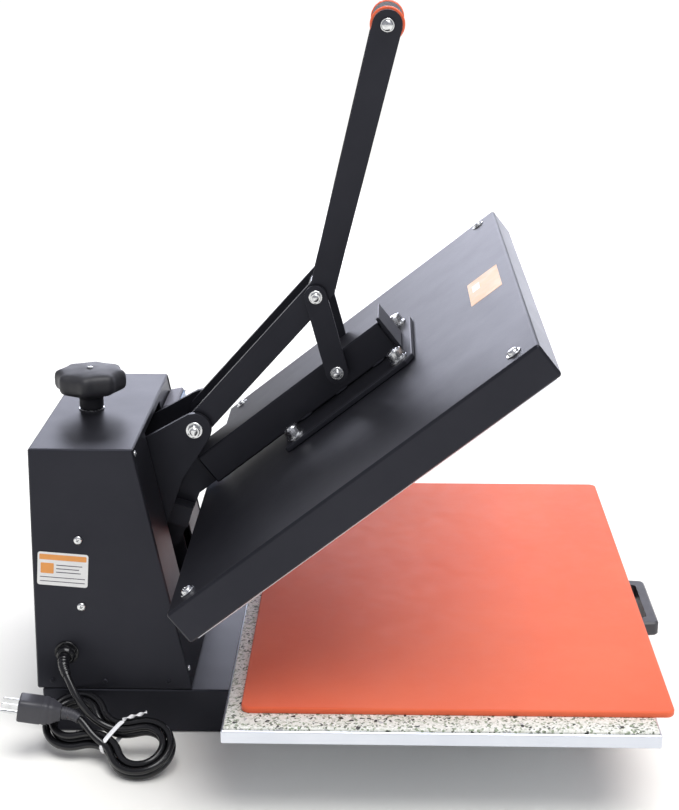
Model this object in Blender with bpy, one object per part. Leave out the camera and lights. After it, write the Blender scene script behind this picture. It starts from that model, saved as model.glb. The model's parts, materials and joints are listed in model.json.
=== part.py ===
"""Clamshell heat-transfer printing press with a pull-out lower bed.

Lengths are in millimetres and are turned into metres when a mesh is made.
+X is the front (the handle side), +Y is the operator's right, +Z is up.
The origin is the centre of the base's underside, on the bench.
"""
import math

import bmesh
import bpy
from mathutils import Matrix, Vector

MM = 0.001
GAP = 0.3                     # between pieces that touch
SHEET = 2.0                   # folded sheet steel

# Base and column
BASE_HALF_X, BASE_HALF_Y, BASE_TOP = 290.0, 132.6, 48.0
COLUMN_HALF_Y = 133.0
COLUMN_FOOT = BASE_TOP + GAP
COLUMN_TOP = 307.5
REAR_FOOT_X, REAR_TOP_X = -295.0, -290.0
FRONT_FOOT_X, FRONT_TOP_X = -135.5, -187.0
SLOT_HALF_Y = 55.0
FRAME_PLATE_Y = 47.5          # inner face of the thick frame plates
FRAME_PLATE = 5.0

# Upper platen, open at its rest angle
TILT = math.radians(38.06)
COVER_REAR_TOP = Vector((-134.9, 0.0, 211.0))
COVER_LENGTH, COVER_HALF_Y, COVER_HEIGHT = 409.0, 306.0, 35.0
HEATER_INSET, HEATER_DEPTH, HEATER_THICK = 6.0, 37.0, 14.0
MOUNT_PLATE_S = (124.0, 284.0)
MOUNT_PLATE_HALF_Y, MOUNT_PLATE_THICK = 83.0, 6.0
MOUNT_BOLT_S, MOUNT_BOLT_Y = (138.0, 269.0), 68.0
ARM_HALF_Y, ARM_LOW, ARM_HIGH, ARM_WALL = 28.0, 6.6, 41.5, 3.0
ARM_S = (30.0, 269.2)

# Lower bed
BED_X = (-89.0, 312.0)
BED_HALF_Y, BED_LOW, BED_RIM = 304.5, 83.2, 96.5
BOARD_TOP = 99.4
PAD_X, PAD_Y, PAD_TOP = (-72.7, 328.0), (-276.6, 330.0), 105.8

# Linkage pivots, as (x, z) on the side view
LEVER_PIVOT = (-136.4, 299.2)
TOGGLE_PIVOT = (-10.9, 439.3)
LINK_PIVOT = (10.4, 360.4)
GRIP_CENTRE = (59.3, 706.3)
HINGE_X = -219.0
CLOSED_GAP = 0.5              # platen to pad when the press is shut
LEVER_BAR_Y, LEVER_BAR, LEVER_HALF_WIDTH = 31.0, 7.0, 12.8
EAR_Y, EAR = 40.0, 6.0
LINK_Y, LINK_PLATE, LINK_RADIUS = 39.0, 5.0, 11.5
GRIP_HALF, GRIP_RADIUS = 55.0, 15.5
SPLAY_START, SPLAY_AT_GRIP = 40.0, 25.5
KNOB_X, KNOB_RADIUS = -249.8, 35.5

# Lift springs, stop rod and the cable gland in the column
GLAND_X, GLAND_Z = -262.5, 89.5
NECK_BACK = (-170.0, 232.0)
STOP_ROD_FROM_HINGE = (2.0, 47.0)
SPRING_ROD, SPRING_HOOK = (-277.0, 262.0), (-166.0, 207.5)
SPRING_Y, SPRING_RADIUS = 29.0, 6.5

# Controls on the front panel, as distances down the slope, across it and out of it
CONTROL_DOWN, CONTROL_ACROSS, CONTROL_DEPTH = (17.0, 113.0), (61.0, 127.0), 15.0
CONTROL_WALL, MEMBRANE_INSET, MEMBRANE = 2.0, 3.0, 0.8
WINDOW_DOWN, WINDOW_ACROSS, WINDOW = (27.0, 49.0), (72.0, 116.0), 1.2
BUTTON_DOWN, BUTTON_RADIUS, BUTTON_OUT = 62.0, 5.0, (12.5, 18.3)
BUTTON_ACROSS = (76.0, 94.0, 112.0)
SWITCH_DOWN, SWITCH_ACROSS, SWITCH_AXLE = 92.0, 94.0, 13.0
SWITCH_HALF = (7.0, 10.0)

# Telescopic rails and the bed's handle
RAIL_OUTER_X, RAIL_INNER_X = (-80.0, 285.0), (-84.0, 300.0)
HANDLE_FRONT, HANDLE_HALF_Y, HANDLE_Z = 349.0, 58.8, (77.0, 92.5)

# Power cord: its way out, the tied hank beside the base, and the plug on the hank
CORD_RADIUS = 3.75
RELIEF_ROUTE = [(-262.5, -145.3, 89.5), (-262.2, -152.0, 89.0),
                (-260.5, -160.0, 86.0), (-256.5, -167.0, 80.0)]
RELIEF_RADII = (6.6, 4.8)
CORD_START = (-255.7, -167.9, 78.7)
CORD_FALL = [(-32.5, 6.0, 32.5), (-21.0, 2.6, 20.0), (-12.6, 2.4, 12.8)]    # in the hank's frame
PLUG_LEAD = [(-12.6, -10.4, 12.4), (-19.0, -7.6, 14.6), (-27.0, -4.9, 16.6), (-35.4, -4.7, 18.6)]
HANK_MIDDLE, HANK_ALONG = Vector((-215.0, -184.8, 25.5)), Vector((86.0, -45.0, -11.0))
HANK_LEAN = math.radians(25)  # it leans on the side of the base
FOLD_RADIUS, WAIST_RADIUS, WAIST_HALF = 22.5, 36.0, 5.5    # the inner turns' centre line
LANE, LAYER = 7.7, 3.85       # between turns side by side, and half that between layers
TIE_X, TIE_HALF, TIE_THICK = 8.0, 2.5, 1.2
PLUG_CENTRE, PLUG_HALF = Vector((-282.3, -181.8, 50.0)), (21.0, 12.5, 12.0)
PLUG_TURN, PLUG_PITCH = math.radians(4), math.radians(10)
BLADE_LONG, GROUND_LONG = 17.0, 20.0


# ---------------------------------------------------------------- helpers

def clear_scene():
    for item in list(bpy.data.objects):
        bpy.data.objects.remove(item, do_unlink=True)


def material(name, color, roughness, metallic):
    made = bpy.data.materials.new(name)
    made.use_nodes = True
    shader = made.node_tree.nodes["Principled BSDF"]
    shader.inputs["Base Color"].default_value = (*color, 1.0)
    shader.inputs["Roughness"].default_value = roughness
    shader.inputs["Metallic"].default_value = metallic
    return made


def add_object(name, bm, look, smooth=False):
    """Turn a bmesh in millimetres into an object in metres."""
    bmesh.ops.recalc_face_normals(bm, faces=bm.faces)
    bmesh.ops.scale(bm, vec=(MM, MM, MM), verts=bm.verts)
    mesh = bpy.data.meshes.new(name)
    bm.to_mesh(mesh)
    bm.free()
    if smooth:
        mesh.shade_smooth()
        mesh.set_sharp_from_angle(angle=math.radians(35))
    if look is not None:
        mesh.materials.append(look)
    made = bpy.data.objects.new(name, mesh)
    bpy.context.collection.objects.link(made)
    return made


def space(u, v, w, along):
    """A point of an outline (u, v) at height w along an axis, as x, y, z."""
    if along == "X":
        return (w, u, v)
    if along == "Y":
        return (u, w, v)
    return (u, v, w)


def fill_prism(bm, outline, low, high, along="Y", place=None):
    rings = []
    for level in (low, high):
        points = [Vector(space(u, v, level, along)) for u, v in outline]
        if place is not None:
            points = [place @ p for p in points]
        rings.append([bm.verts.new(p) for p in points])
    count = len(outline)
    bm.faces.new(rings[0])
    bm.faces.new(rings[1])
    for i in range(count):
        j = (i + 1) % count
        bm.faces.new((rings[0][i], rings[0][j], rings[1][j], rings[1][i]))


def prism(name, outline, low, high, look, along="Y", place=None, edge=0.0, smooth=False):
    bm = bmesh.new()
    fill_prism(bm, outline, low, high, along, place)
    made = add_object(name, bm, look, smooth)
    if edge:
        round_edges(made, edge)
    return made


def box(name, low, high, look, place=None, edge=0.0):
    outline = [(low[0], low[1]), (high[0], low[1]), (high[0], high[1]), (low[0], high[1])]
    return prism(name, outline, low[2], high[2], look, "Z", place, edge)


def round_edges(made, width, segments=1, angle=40):
    bevel = made.modifiers.new("edges", "BEVEL")
    bevel.width = width * MM
    bevel.segments = segments
    bevel.limit_method = "ANGLE"
    bevel.angle_limit = math.radians(angle)


def circle(centre, radius, steps=24, start=0.0, turn=360.0):
    """Points on an arc; a full turn leaves out the repeated last point."""
    count = steps if abs(turn) >= 360 else steps + 1
    angles = [math.radians(start + turn * i / steps) for i in range(count)]
    return [(centre[0] + radius * math.cos(a), centre[1] + radius * math.sin(a)) for a in angles]


def rounded(corners, radius, steps=4):
    """An outline with each corner replaced by an arc."""
    points = []
    count = len(corners)
    for i, corner in enumerate(corners):
        here = Vector(corner)
        before = (Vector(corners[i - 1]) - here).normalized()
        after = (Vector(corners[(i + 1) % count]) - here).normalized()
        half = before.angle(after) / 2
        middle = here + (before + after).normalized() * (radius / math.sin(half))
        first = here + before * (radius / math.tan(half)) - middle
        last = here + after * (radius / math.tan(half)) - middle
        start = math.atan2(first.y, first.x)
        sweep = math.atan2(first.cross(last), first.dot(last))
        for k in range(steps + 1):
            a = start + sweep * k / steps
            points.append((middle.x + radius * math.cos(a), middle.y + radius * math.sin(a)))
    return points


def turned(name, profile, look, centre=(0, 0, 0), along="Y", steps=24, lobes=0, depth=0.0):
    """A turned solid; profile lists (radius, position) from one end to the other."""
    bm = bmesh.new()
    rings = []
    for radius, level in profile:
        ring = []
        for i in range(steps):
            a = 2 * math.pi * i / steps
            r = radius + (depth * math.cos(lobes * a) if lobes and radius > 20 else 0.0)
            shift = Vector(space(r * math.cos(a), r * math.sin(a), level, along))
            ring.append(bm.verts.new(Vector(centre) + shift))
        rings.append(ring)
    bm.faces.new(rings[0])
    bm.faces.new(rings[-1])
    for one, two in zip(rings, rings[1:]):
        for i in range(steps):
            j = (i + 1) % steps
            bm.faces.new((one[i], one[j], two[j], two[i]))
    return add_object(name, bm, look, smooth=True)


def cut(target, fill):
    """Cut away everything that fill() draws into a bmesh."""
    bm = bmesh.new()
    fill(bm)
    tool = add_object(target.name + "_cutter", bm, None)
    tool.display_type = "WIRE"
    tool.hide_render = True
    change = target.modifiers.new("cut", "BOOLEAN")
    change.operation = "DIFFERENCE"
    change.solver = "EXACT"
    change.object = tool


def join(target, fill):
    bm = bmesh.new()
    fill(bm)
    tool = add_object(target.name + "_joined", bm, None)
    tool.display_type = "WIRE"
    tool.hide_render = True
    change = target.modifiers.new("join", "BOOLEAN")
    change.operation = "UNION"
    change.solver = "EXACT"
    change.object = tool


def drill(target, holes, low, high, along="Y", place=None, steps=20):
    """Round holes, each given as (u, v, radius)."""
    def fill(bm):
        for u, v, radius in holes:
            fill_prism(bm, circle((u, v), radius, steps), low, high, along, place)
    cut(target, fill)


def hollow(target, low, high, place=None):
    def fill(bm):
        corners = [(low[0], low[1]), (high[0], low[1]), (high[0], high[1]), (low[0], high[1])]
        fill_prism(bm, corners, low[2], high[2], "Z", place)
    cut(target, fill)


def joint_frame(name, x, z, y=0.0):
    empty = bpy.data.objects.new(name, None)
    bpy.context.collection.objects.link(empty)
    empty.location = (x * MM, y * MM, z * MM)
    return empty


def hang_on(empty, pieces):
    """Parent pieces to a joint's empty without moving them."""
    inverse = Matrix.Translation(-empty.location)
    for piece in pieces:
        piece.parent = empty
        piece.matrix_parent_inverse = inverse


# ---------------------------------------------------------------- places

def tilted_place():
    """Platen frame: X along the cover, Z out of its top, from the rear top edge."""
    along = Vector((math.cos(TILT), 0, math.sin(TILT)))
    up = Vector((-math.sin(TILT), 0, math.cos(TILT)))
    across = Vector((0, 1, 0))
    place = Matrix((along, across, up)).transposed().to_4x4()
    return Matrix.Translation(COVER_REAR_TOP) @ place


def front_place():
    """Front panel frame: X down the slope, Y across, Z out of the panel."""
    down = Vector((FRONT_FOOT_X - FRONT_TOP_X, 0, COLUMN_FOOT - COLUMN_TOP)).normalized()
    across = Vector((0, 1, 0))
    out = down.cross(across)
    place = Matrix((down, across, out)).transposed().to_4x4()
    return Matrix.Translation((FRONT_TOP_X, 0, COLUMN_TOP)) @ place


def hinge_point():
    """The platen hinge: turning the platen by TILT lays the heater on the pad."""
    up = Vector((-math.sin(TILT), math.cos(TILT)))
    shut = PAD_TOP + CLOSED_GAP + HEATER_DEPTH
    corner = Vector((COVER_REAR_TOP.x, COVER_REAR_TOP.z))
    z = (shut - corner.dot(up) + HINGE_X * up.x) / (1 - up.y)
    return (HINGE_X, z)


PLATEN = tilted_place()
FRONT = front_place()
HINGE = hinge_point()
STOP_ROD = (HINGE[0] + STOP_ROD_FROM_HINGE[0], HINGE[1] + STOP_ROD_FROM_HINGE[1])


def on_platen(s, h):
    """Side-view (x, z) of a point s along the cover and h above its top."""
    point = PLATEN @ Vector((s, 0, h))
    return (point.x, point.z)


# ---------------------------------------------------------------- base and column

def make_base(looks):
    black = looks["black_paint"]
    frame = box("base_frame", (-BASE_HALF_X, -BASE_HALF_Y, 0), (BASE_HALF_X, BASE_HALF_Y, BASE_TOP),
                black, edge=1.5)
    inner_x, inner_y = BASE_HALF_X - SHEET, BASE_HALF_Y - SHEET
    hollow(frame, (-inner_x, -inner_y, -10), (inner_x, inner_y, BASE_TOP - SHEET))
    edge_x, edge_y = inner_x - GAP, inner_y - GAP
    plate = box("base_plate", (-edge_x, -edge_y, 0), (edge_x, edge_y, SHEET), black)
    return [frame, plate]


def make_column(looks):
    black = looks["black_paint"]
    outline = [(REAR_FOOT_X, COLUMN_FOOT), (FRONT_FOOT_X, COLUMN_FOOT),
               (FRONT_TOP_X, COLUMN_TOP), (REAR_TOP_X, COLUMN_TOP)]
    housing = prism("column_housing", outline, -COLUMN_HALF_Y, COLUMN_HALF_Y, black, edge=1.5)
    inner = COLUMN_HALF_Y - SHEET
    hollow(housing, (-330, -inner, 20), (-100, inner, COLUMN_TOP - SHEET))
    drill(housing, [(KNOB_X, 0, 9.0)], 300, 312, along="Z")
    drill(housing, [(GLAND_X, GLAND_Z, 8.8)], -140, -125)

    edge = inner - GAP
    panel = box("front_panel", (3, -edge, -3), (261, edge, -1), black, FRONT)
    hollow(panel, (9, -SLOT_HALF_Y, -9), (214, SLOT_HALF_Y, 9), FRONT)

    lean = (REAR_TOP_X - REAR_FOOT_X) / (COLUMN_TOP - COLUMN_FOOT)
    low, high = COLUMN_FOOT + 1, COLUMN_TOP - SHEET - GAP
    rear = [(REAR_FOOT_X + 1 + lean, low), (REAR_FOOT_X + 3 + lean, low),
            (REAR_TOP_X + 3, high), (REAR_TOP_X + 1, high)]
    back = prism("rear_cover", rear, -edge, edge, black)

    def vents(bm):
        for row in range(7):
            z = 190 + 14 * row
            fill_prism(bm, rounded([(-45, z), (45, z), (45, z + 5), (-45, z + 5)], 2.4, 3),
                       -310, -270, "X")
    cut(back, vents)
    return [housing, panel, back]


def make_column_frame(looks):
    """Thick plates inside the column, with the shaft and rods between them."""
    steel = looks["black_paint"]
    pieces = []
    outline = [(-286, COLUMN_FOOT), (-145, COLUMN_FOOT), (-194, 296), (-286, 296)]
    holes = [(*HINGE, 10.3), (*STOP_ROD, 5.3), (*SPRING_ROD, 5.3)]
    for side, name in ((-1, "side_plate_near"), (1, "side_plate_far")):
        ends = sorted((side * FRAME_PLATE_Y, side * (FRAME_PLATE_Y + FRAME_PLATE)))
        plate = prism(name, outline, *ends, steel)
        drill(plate, holes, ends[0] - 2, ends[1] + 2)
        pieces.append(plate)
    reach = FRAME_PLATE_Y - GAP
    top = box("frame_top_plate", (-284, -reach, 288), (-212, reach, 296), steel)
    drill(top, [(KNOB_X, 0, 6.4)], 280, 300, along="Z")
    pieces.append(top)
    outside = FRAME_PLATE_Y + FRAME_PLATE + GAP
    bright = looks["zinc"]
    shaft = [(15, -outside - 5), (15, -outside), (10, -outside), (10, outside),
             (15, outside), (15, outside + 5)]
    pieces.append(turned("hinge_shaft", shaft, bright, (HINGE[0], 0, HINGE[1])))
    for name, (x, z) in (("platen_stop_rod", STOP_ROD), ("spring_anchor_rod", SPRING_ROD)):
        rod = [(8, -outside - 4), (8, -outside), (5, -outside), (5, outside),
               (8, outside), (8, outside + 4)]
        pieces.append(turned(name, rod, bright, (x, 0, z), steps=16))
    return pieces


def make_springs(looks):
    pieces = []
    start = Vector((*SPRING_ROD, 0))
    end = Vector((*SPRING_HOOK, 0))
    way = (end - start).normalized()
    first, last = start + way * 6.0, end - way * 0.5
    angle = math.atan2(way.y, way.x)
    for side, name in ((-1, "lift_spring_near"), (1, "lift_spring_far")):
        bm = bmesh.new()
        place = (Matrix.Translation((first.x, side * SPRING_Y, first.y))
                 @ Matrix.Rotation(-angle, 4, "Y"))
        fill_prism(bm, circle((0, 0), SPRING_RADIUS, 16), 0, (last - first).length, "X", place)
        pieces.append(add_object(name, bm, looks["zinc"], smooth=True))
    return pieces


# ---------------------------------------------------------------- controls

def make_controls(looks):
    case = box("control_box", (CONTROL_DOWN[0], CONTROL_ACROSS[0], -0.7),
               (CONTROL_DOWN[1], CONTROL_ACROSS[1], CONTROL_DEPTH), looks["grey_paint"], FRONT, 1.5)
    wall, inset = CONTROL_WALL, MEMBRANE_INSET
    hollow(case, (CONTROL_DOWN[0] + wall, CONTROL_ACROSS[0] + wall, -9),
           (CONTROL_DOWN[1] - wall, CONTROL_ACROSS[1] - wall, CONTROL_DEPTH - wall), FRONT)
    buttons = [(BUTTON_DOWN, across, BUTTON_RADIUS + 0.5) for across in BUTTON_ACROSS]
    drill(case, buttons, 8, 20, "Z", FRONT, steps=20)
    rocker = (SWITCH_HALF[0] + 0.8, SWITCH_HALF[1] + 0.6)
    slot = ((SWITCH_DOWN - rocker[0], SWITCH_ACROSS - rocker[1], 5),
            (SWITCH_DOWN + rocker[0], SWITCH_ACROSS + rocker[1], 20))
    hollow(case, *slot, FRONT)
    face = CONTROL_DEPTH + GAP
    sheet = box("control_membrane", (CONTROL_DOWN[0] + inset, CONTROL_ACROSS[0] + inset, face),
                (CONTROL_DOWN[1] - inset, CONTROL_ACROSS[1] - inset, face + MEMBRANE),
                looks["blue_film"], FRONT)
    drill(sheet, buttons, 8, 20, "Z", FRONT, steps=20)
    hollow(sheet, *slot, FRONT)
    window = ((WINDOW_DOWN[0], WINDOW_ACROSS[0], face), (WINDOW_DOWN[1], WINDOW_ACROSS[1], face + WINDOW))
    hollow(sheet, (window[0][0] - GAP, window[0][1] - GAP, 5),
           (window[1][0] + GAP, window[1][1] + GAP, 25), FRONT)
    glass = box("display_window", *window, looks["dark_glass"], FRONT)
    board = box("circuit_board", (22, 64, -24), (108, 124, -22.4), looks["board_green"], FRONT)
    relay = box("solid_state_relay", (-262, 72, COLUMN_FOOT), (-204, 117, COLUMN_FOOT + 23),
                looks["dark_plastic"], edge=1.0)
    return [case, sheet, glass, board, relay]


def make_buttons(looks):
    pieces = []
    for name, across in zip(("button_down", "button_set", "button_up"), BUTTON_ACROSS):
        bm = bmesh.new()
        fill_prism(bm, circle((BUTTON_DOWN, across), BUTTON_RADIUS, 20), *BUTTON_OUT, "Z", FRONT)
        button = add_object(name, bm, looks["light_plastic"], smooth=True)
        hang_on(joint_frame(name + "_axis", *place_xz(BUTTON_DOWN, BUTTON_OUT[1]), across), [button])
        pieces.append(button)
    half = SWITCH_HALF
    outline = [(SWITCH_DOWN - half[0], 10), (SWITCH_DOWN + half[0], 10),
               (SWITCH_DOWN + half[0], 17.0), (SWITCH_DOWN, 18.0), (SWITCH_DOWN - half[0], 19.8)]
    rocker = prism("power_switch", outline, SWITCH_ACROSS - half[1], SWITCH_ACROSS + half[1],
                   looks["red_plastic"], "Y", FRONT)
    hang_on(joint_frame("power_switch_axis", *place_xz(SWITCH_DOWN, SWITCH_AXLE), SWITCH_ACROSS), [rocker])
    pieces.append(rocker)
    return pieces


def place_xz(down, out):
    point = FRONT @ Vector((down, 0, out))
    return (point.x, point.z)


# ---------------------------------------------------------------- lower bed

def make_rails(looks):
    """Each rail is a channel screwed to the base, with a slider inside it."""
    fixed, sliding = [], []
    floor = BASE_TOP + GAP
    for side, name in ((-1, "near"), (1, "far")):
        outer = [(106, floor), (120, floor), (120, 78), (108, 78), (108, 76), (118, 76),
                 (118, floor + 2), (106, floor + 2)]
        inner = [(103, 54), (114, 54), (114, 56), (105, 56), (105, 72), (114, 72), (114, 74),
                 (105, 74), (105, 82.9), (90, 82.9), (90, 80.9), (103, 80.9)]
        fixed.append(prism("rail_outer_" + name, [(side * y, z) for y, z in outer],
                           *RAIL_OUTER_X, looks["zinc"], "X"))
        sliding.append(prism("rail_inner_" + name, [(side * y, z) for y, z in inner],
                             *RAIL_INNER_X, looks["zinc"], "X"))
    return fixed, sliding


def make_bed(looks):
    pan = box("bed_tray", (BED_X[0], -BED_HALF_Y, BED_LOW), (BED_X[1], BED_HALF_Y, BED_RIM),
              looks["aluminium"], edge=1.2)
    wall = 2.0
    hollow(pan, (BED_X[0] + wall, -BED_HALF_Y + wall, BED_LOW + wall),
           (BED_X[1] - wall, BED_HALF_Y - wall, BED_RIM + 20))
    inset = wall + GAP
    board = box("bed_board", (BED_X[0] + inset, -BED_HALF_Y + inset, BED_LOW + inset),
                (BED_X[1] - inset, BED_HALF_Y - inset, BOARD_TOP), looks["speckled"], edge=0.8)
    corners = [(PAD_X[0], PAD_Y[0]), (PAD_X[1], PAD_Y[0]), (PAD_X[1], PAD_Y[1]), (PAD_X[0], PAD_Y[1])]
    pad = prism("silicone_pad", rounded(corners, 9, 6), BOARD_TOP + GAP, PAD_TOP, looks["silicone"],
                "Z", edge=1.2)
    return [pan, board, pad]


def make_bed_handle(looks):
    root, front, half = BED_X[1] + GAP, HANDLE_FRONT, HANDLE_HALF_Y
    outer = rounded([(root + 0.01, -half), (front, -half + 4), (front, half - 4),
                     (root + 0.01, half)], 6, 4)
    grip = prism("bed_handle", outer, *HANDLE_Z, looks["dark_plastic"], "Z", edge=2.0)
    slot = rounded([(root + 5, -44), (front - 11, -42), (front - 11, 42), (root + 5, 44)], 5, 4)

    def fill(bm):
        fill_prism(bm, slot, 60, 110, "Z")
    cut(grip, fill)
    return [grip]


# ---------------------------------------------------------------- upper platen

def make_platen(looks):
    black = looks["black_paint"]
    cover = box("platen_cover", (0, -COVER_HALF_Y, -COVER_HEIGHT), (COVER_LENGTH, COVER_HALF_Y, 0),
                black, PLATEN, 2.0)
    hollow(cover, (SHEET, SHEET - COVER_HALF_Y, -99),
           (COVER_LENGTH - SHEET, COVER_HALF_Y - SHEET, -SHEET), PLATEN)
    s0, s1 = HEATER_INSET, COVER_LENGTH - HEATER_INSET
    half = COVER_HALF_Y - HEATER_INSET
    heater = box("heater_plate", (s0, -half, -HEATER_DEPTH), (s1, half, HEATER_THICK - HEATER_DEPTH),
                 looks["aluminium"], PLATEN, 1.0)
    felt = box("insulation_blanket", (s0, -half, HEATER_THICK + GAP - HEATER_DEPTH), (s1, half, -9),
               looks["felt"], PLATEN)
    lo, hi = MOUNT_PLATE_S
    edge = MOUNT_PLATE_HALF_Y
    corners = [(lo, -edge), (hi - 9, -edge), (hi, -edge + 9), (hi, edge - 9), (hi - 9, edge), (lo, edge)]
    plate = prism("mounting_plate", corners, GAP, MOUNT_PLATE_THICK, black, "Z", PLATEN, 0.8)
    spots = [(s, side * MOUNT_BOLT_Y) for s in MOUNT_BOLT_S for side in (-1, 1)]
    for target in (cover, plate):
        drill(target, [(s, y, 5.3) for s, y in spots], -6, 12, "Z", PLATEN, 16)
    pieces = [cover, heater, felt, plate]
    for number, (s, y) in enumerate(spots, 1):
        pieces.append(make_mounting_bolt(number, s, y, looks))
    return pieces


def make_mounting_bolt(number, s, y, looks):
    """A hexagon bolt on a washer, down through the plate and the cover."""
    base = MOUNT_PLATE_THICK + GAP
    bm = bmesh.new()
    fill_prism(bm, circle((s, y), 9.5, 20), base, base + 2, "Z", PLATEN)
    bolt = add_object("mounting_bolt_%d" % number, bm, looks["zinc"], smooth=True)

    join(bolt, lambda b: fill_prism(b, circle((s, y), 8.0, 6), base + 1, base + 9, "Z", PLATEN))
    join(bolt, lambda b: fill_prism(b, circle((s, y), 5.0, 16), -7, base + 1.5, "Z", PLATEN))
    return bolt


def make_arm(looks):
    black = looks["black_paint"]
    tube = box("platen_arm", (ARM_S[0], -ARM_HALF_Y, ARM_LOW), (ARM_S[1], ARM_HALF_Y, ARM_HIGH),
               black, PLATEN, 1.5)
    hollow(tube, (ARM_S[0] - 9, -ARM_HALF_Y + ARM_WALL, ARM_LOW + ARM_WALL),
           (ARM_S[1] + 9, ARM_HALF_Y - ARM_WALL, ARM_HIGH - ARM_WALL), PLATEN)
    drill(tube, [(*LINK_PIVOT, 6.4)], -40, 40)
    end = box("arm_end_plate", (ARM_S[1] + GAP, -31, ARM_LOW), (ARM_S[1] + 4, 31, ARM_HIGH + 4.5),
              black, PLATEN, 0.8)
    face = ARM_S[0] - GAP
    neck = [on_platen(face, ARM_HIGH - 1), on_platen(face, ARM_LOW + 2),
            (-136.0, 221.0), (-143.0, 203.0), (-158.0, 166.0)]
    neck += circle(HINGE, 20, 10, -50, -165)
    neck += [NECK_BACK]
    bracket = prism("arm_neck", neck, -20, 20, black)
    bar = [(-162.0, 216.0), (-141.2, 209.6), (-147.6, 188.8), (-168.4, 195.2)]

    def crossbar(bm):
        fill_prism(bm, bar, -38.5, 38.5)
    join(bracket, crossbar)
    drill(bracket, [(*HINGE, 10.3)], -30, 30, steps=24)
    return [tube, end, bracket]


# ---------------------------------------------------------------- lever and links

def lever_lines():
    """The two centre lines of the cranked lever, as (start, unit direction)."""
    pivot, toggle, grip = Vector(LEVER_PIVOT), Vector(TOGGLE_PIVOT), Vector(GRIP_CENTRE)
    low = (toggle - pivot).normalized()
    high = (grip - toggle).normalized()
    start = toggle + Vector((high.y, -high.x)) * 5.0
    high = (grip - start).normalized()
    return (pivot, low), (start, high)


def meet(point, way, other, other_way):
    """Where two lines of the side view cross."""
    t = (other - point).cross(other_way) / way.cross(other_way)
    return point + way * t


def make_lever_bar(name, side, look):
    (pivot, low), (start, high) = lever_lines()
    left_low, left_high = Vector((-low.y, low.x)), Vector((-high.y, high.x))
    half = LEVER_HALF_WIDTH
    outer = meet(pivot + left_low * half, low, start + left_high * half, high)
    inner = meet(pivot - left_low * half, low, start - left_high * half, high)
    fold_left = start + left_high * half + high * SPLAY_START
    fold_right = start - left_high * half + high * SPLAY_START
    rear = math.degrees(math.atan2(left_low.y, left_low.x))
    front = math.degrees(math.atan2(-left_high.y, -left_high.x))
    lower = [tuple(inner), tuple(fold_right), tuple(fold_left), tuple(outer)]
    lower += circle(pivot, half, 12, rear, 180)
    upper = [tuple(fold_left), tuple(fold_right)]
    upper += circle(GRIP_CENTRE, half + 1.7, 14, front, 180)
    slope = SPLAY_AT_GRIP / ((Vector(GRIP_CENTRE) - start).length - SPLAY_START)

    bm = bmesh.new()
    sheets = []
    for level in (LEVER_BAR_Y, LEVER_BAR_Y + LEVER_BAR):
        verts = {}
        for u, v in lower + upper:
            rise = max(0.0, (Vector((u, v)) - start).dot(high) - SPLAY_START)
            verts[(u, v)] = bm.verts.new((u, side * (level + slope * rise), v))
        sheets.append(verts)
        for ring in (lower, upper):
            bm.faces.new([verts[point] for point in ring])
    fold = {tuple(fold_left), tuple(fold_right)}
    for ring in (lower, upper):
        for one, two in zip(ring, ring[1:] + ring[:1]):
            if {one, two} != fold:
                bm.faces.new((sheets[0][one], sheets[0][two], sheets[1][two], sheets[1][one]))
    bar = add_object(name, bm, look)
    reach = sorted((side * 20, side * 80))
    drill(bar, [(*LEVER_PIVOT, 7.3), (*TOGGLE_PIVOT, 6.3), (*GRIP_CENTRE, 5.3)], *reach)
    return bar


def make_lever(looks):
    black = looks["black_paint"]
    bars = [make_lever_bar("lever_bar_near", -1, black), make_lever_bar("lever_bar_far", 1, black)]
    x, z = TOGGLE_PIVOT
    inside = LEVER_BAR_Y - GAP
    toggle = [(6, -LINK_Y + 0.5), (6, -inside), (9.5, -inside), (9.5, inside), (6, inside),
              (6, LINK_Y - 0.5)]
    pin = turned("toggle_pin", toggle, looks["zinc"], (x, 0, z))
    x, z = GRIP_CENTRE
    grip = turned("handle_grip", [(GRIP_RADIUS - 2, -GRIP_HALF), (GRIP_RADIUS, -GRIP_HALF + 2),
                                  (GRIP_RADIUS, GRIP_HALF - 2), (GRIP_RADIUS - 2, GRIP_HALF)],
                  looks["grip_rubber"], (x, 0, z), steps=32)
    drill(grip, [(x, z, 5.3)], -70, 70)
    outer = 66.5
    rod = [(5.8, -outer - 4), (5.8, -outer), (5, -outer), (5, outer), (5.8, outer), (5.8, outer + 4)]
    bolt = turned("grip_rod", rod, looks["zinc"], (x, 0, z), steps=20)
    return bars + [pin, grip, bolt]


def make_links(looks):
    """Two link plates and the pin that carries them through the platen arm."""
    pieces = []
    lower, upper = Vector(LINK_PIVOT), Vector(TOGGLE_PIVOT)
    way = (upper - lower).normalized()
    heading = math.degrees(math.atan2(way.y, way.x))
    outline = circle(upper, LINK_RADIUS, 12, heading - 90, 180)
    outline += circle(lower, LINK_RADIUS, 12, heading + 90, 180)
    for side, name in ((-1, "link_near"), (1, "link_far")):
        ends = sorted((side * LINK_Y, side * (LINK_Y + LINK_PLATE)))
        link = prism(name, outline, *ends, looks["black_paint"])
        drill(link, [(*LINK_PIVOT, 6.3)], ends[0] - 2, ends[1] + 2)
        pieces.append(link)
    step, out = ARM_HALF_Y + 0.5, LINK_Y - GAP
    head = LINK_Y + LINK_PLATE + GAP
    half = [(6, step), (9, step), (9, out), (6, out), (6, head), (8, head), (8, head + 5)]
    profile = [(r, -y) for r, y in reversed(half)] + half
    x, z = LINK_PIVOT
    pieces.append(turned("link_pin", profile, looks["zinc"], (x, 0, z)))
    return pieces


# ---------------------------------------------------------------- pressure adjustment

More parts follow.
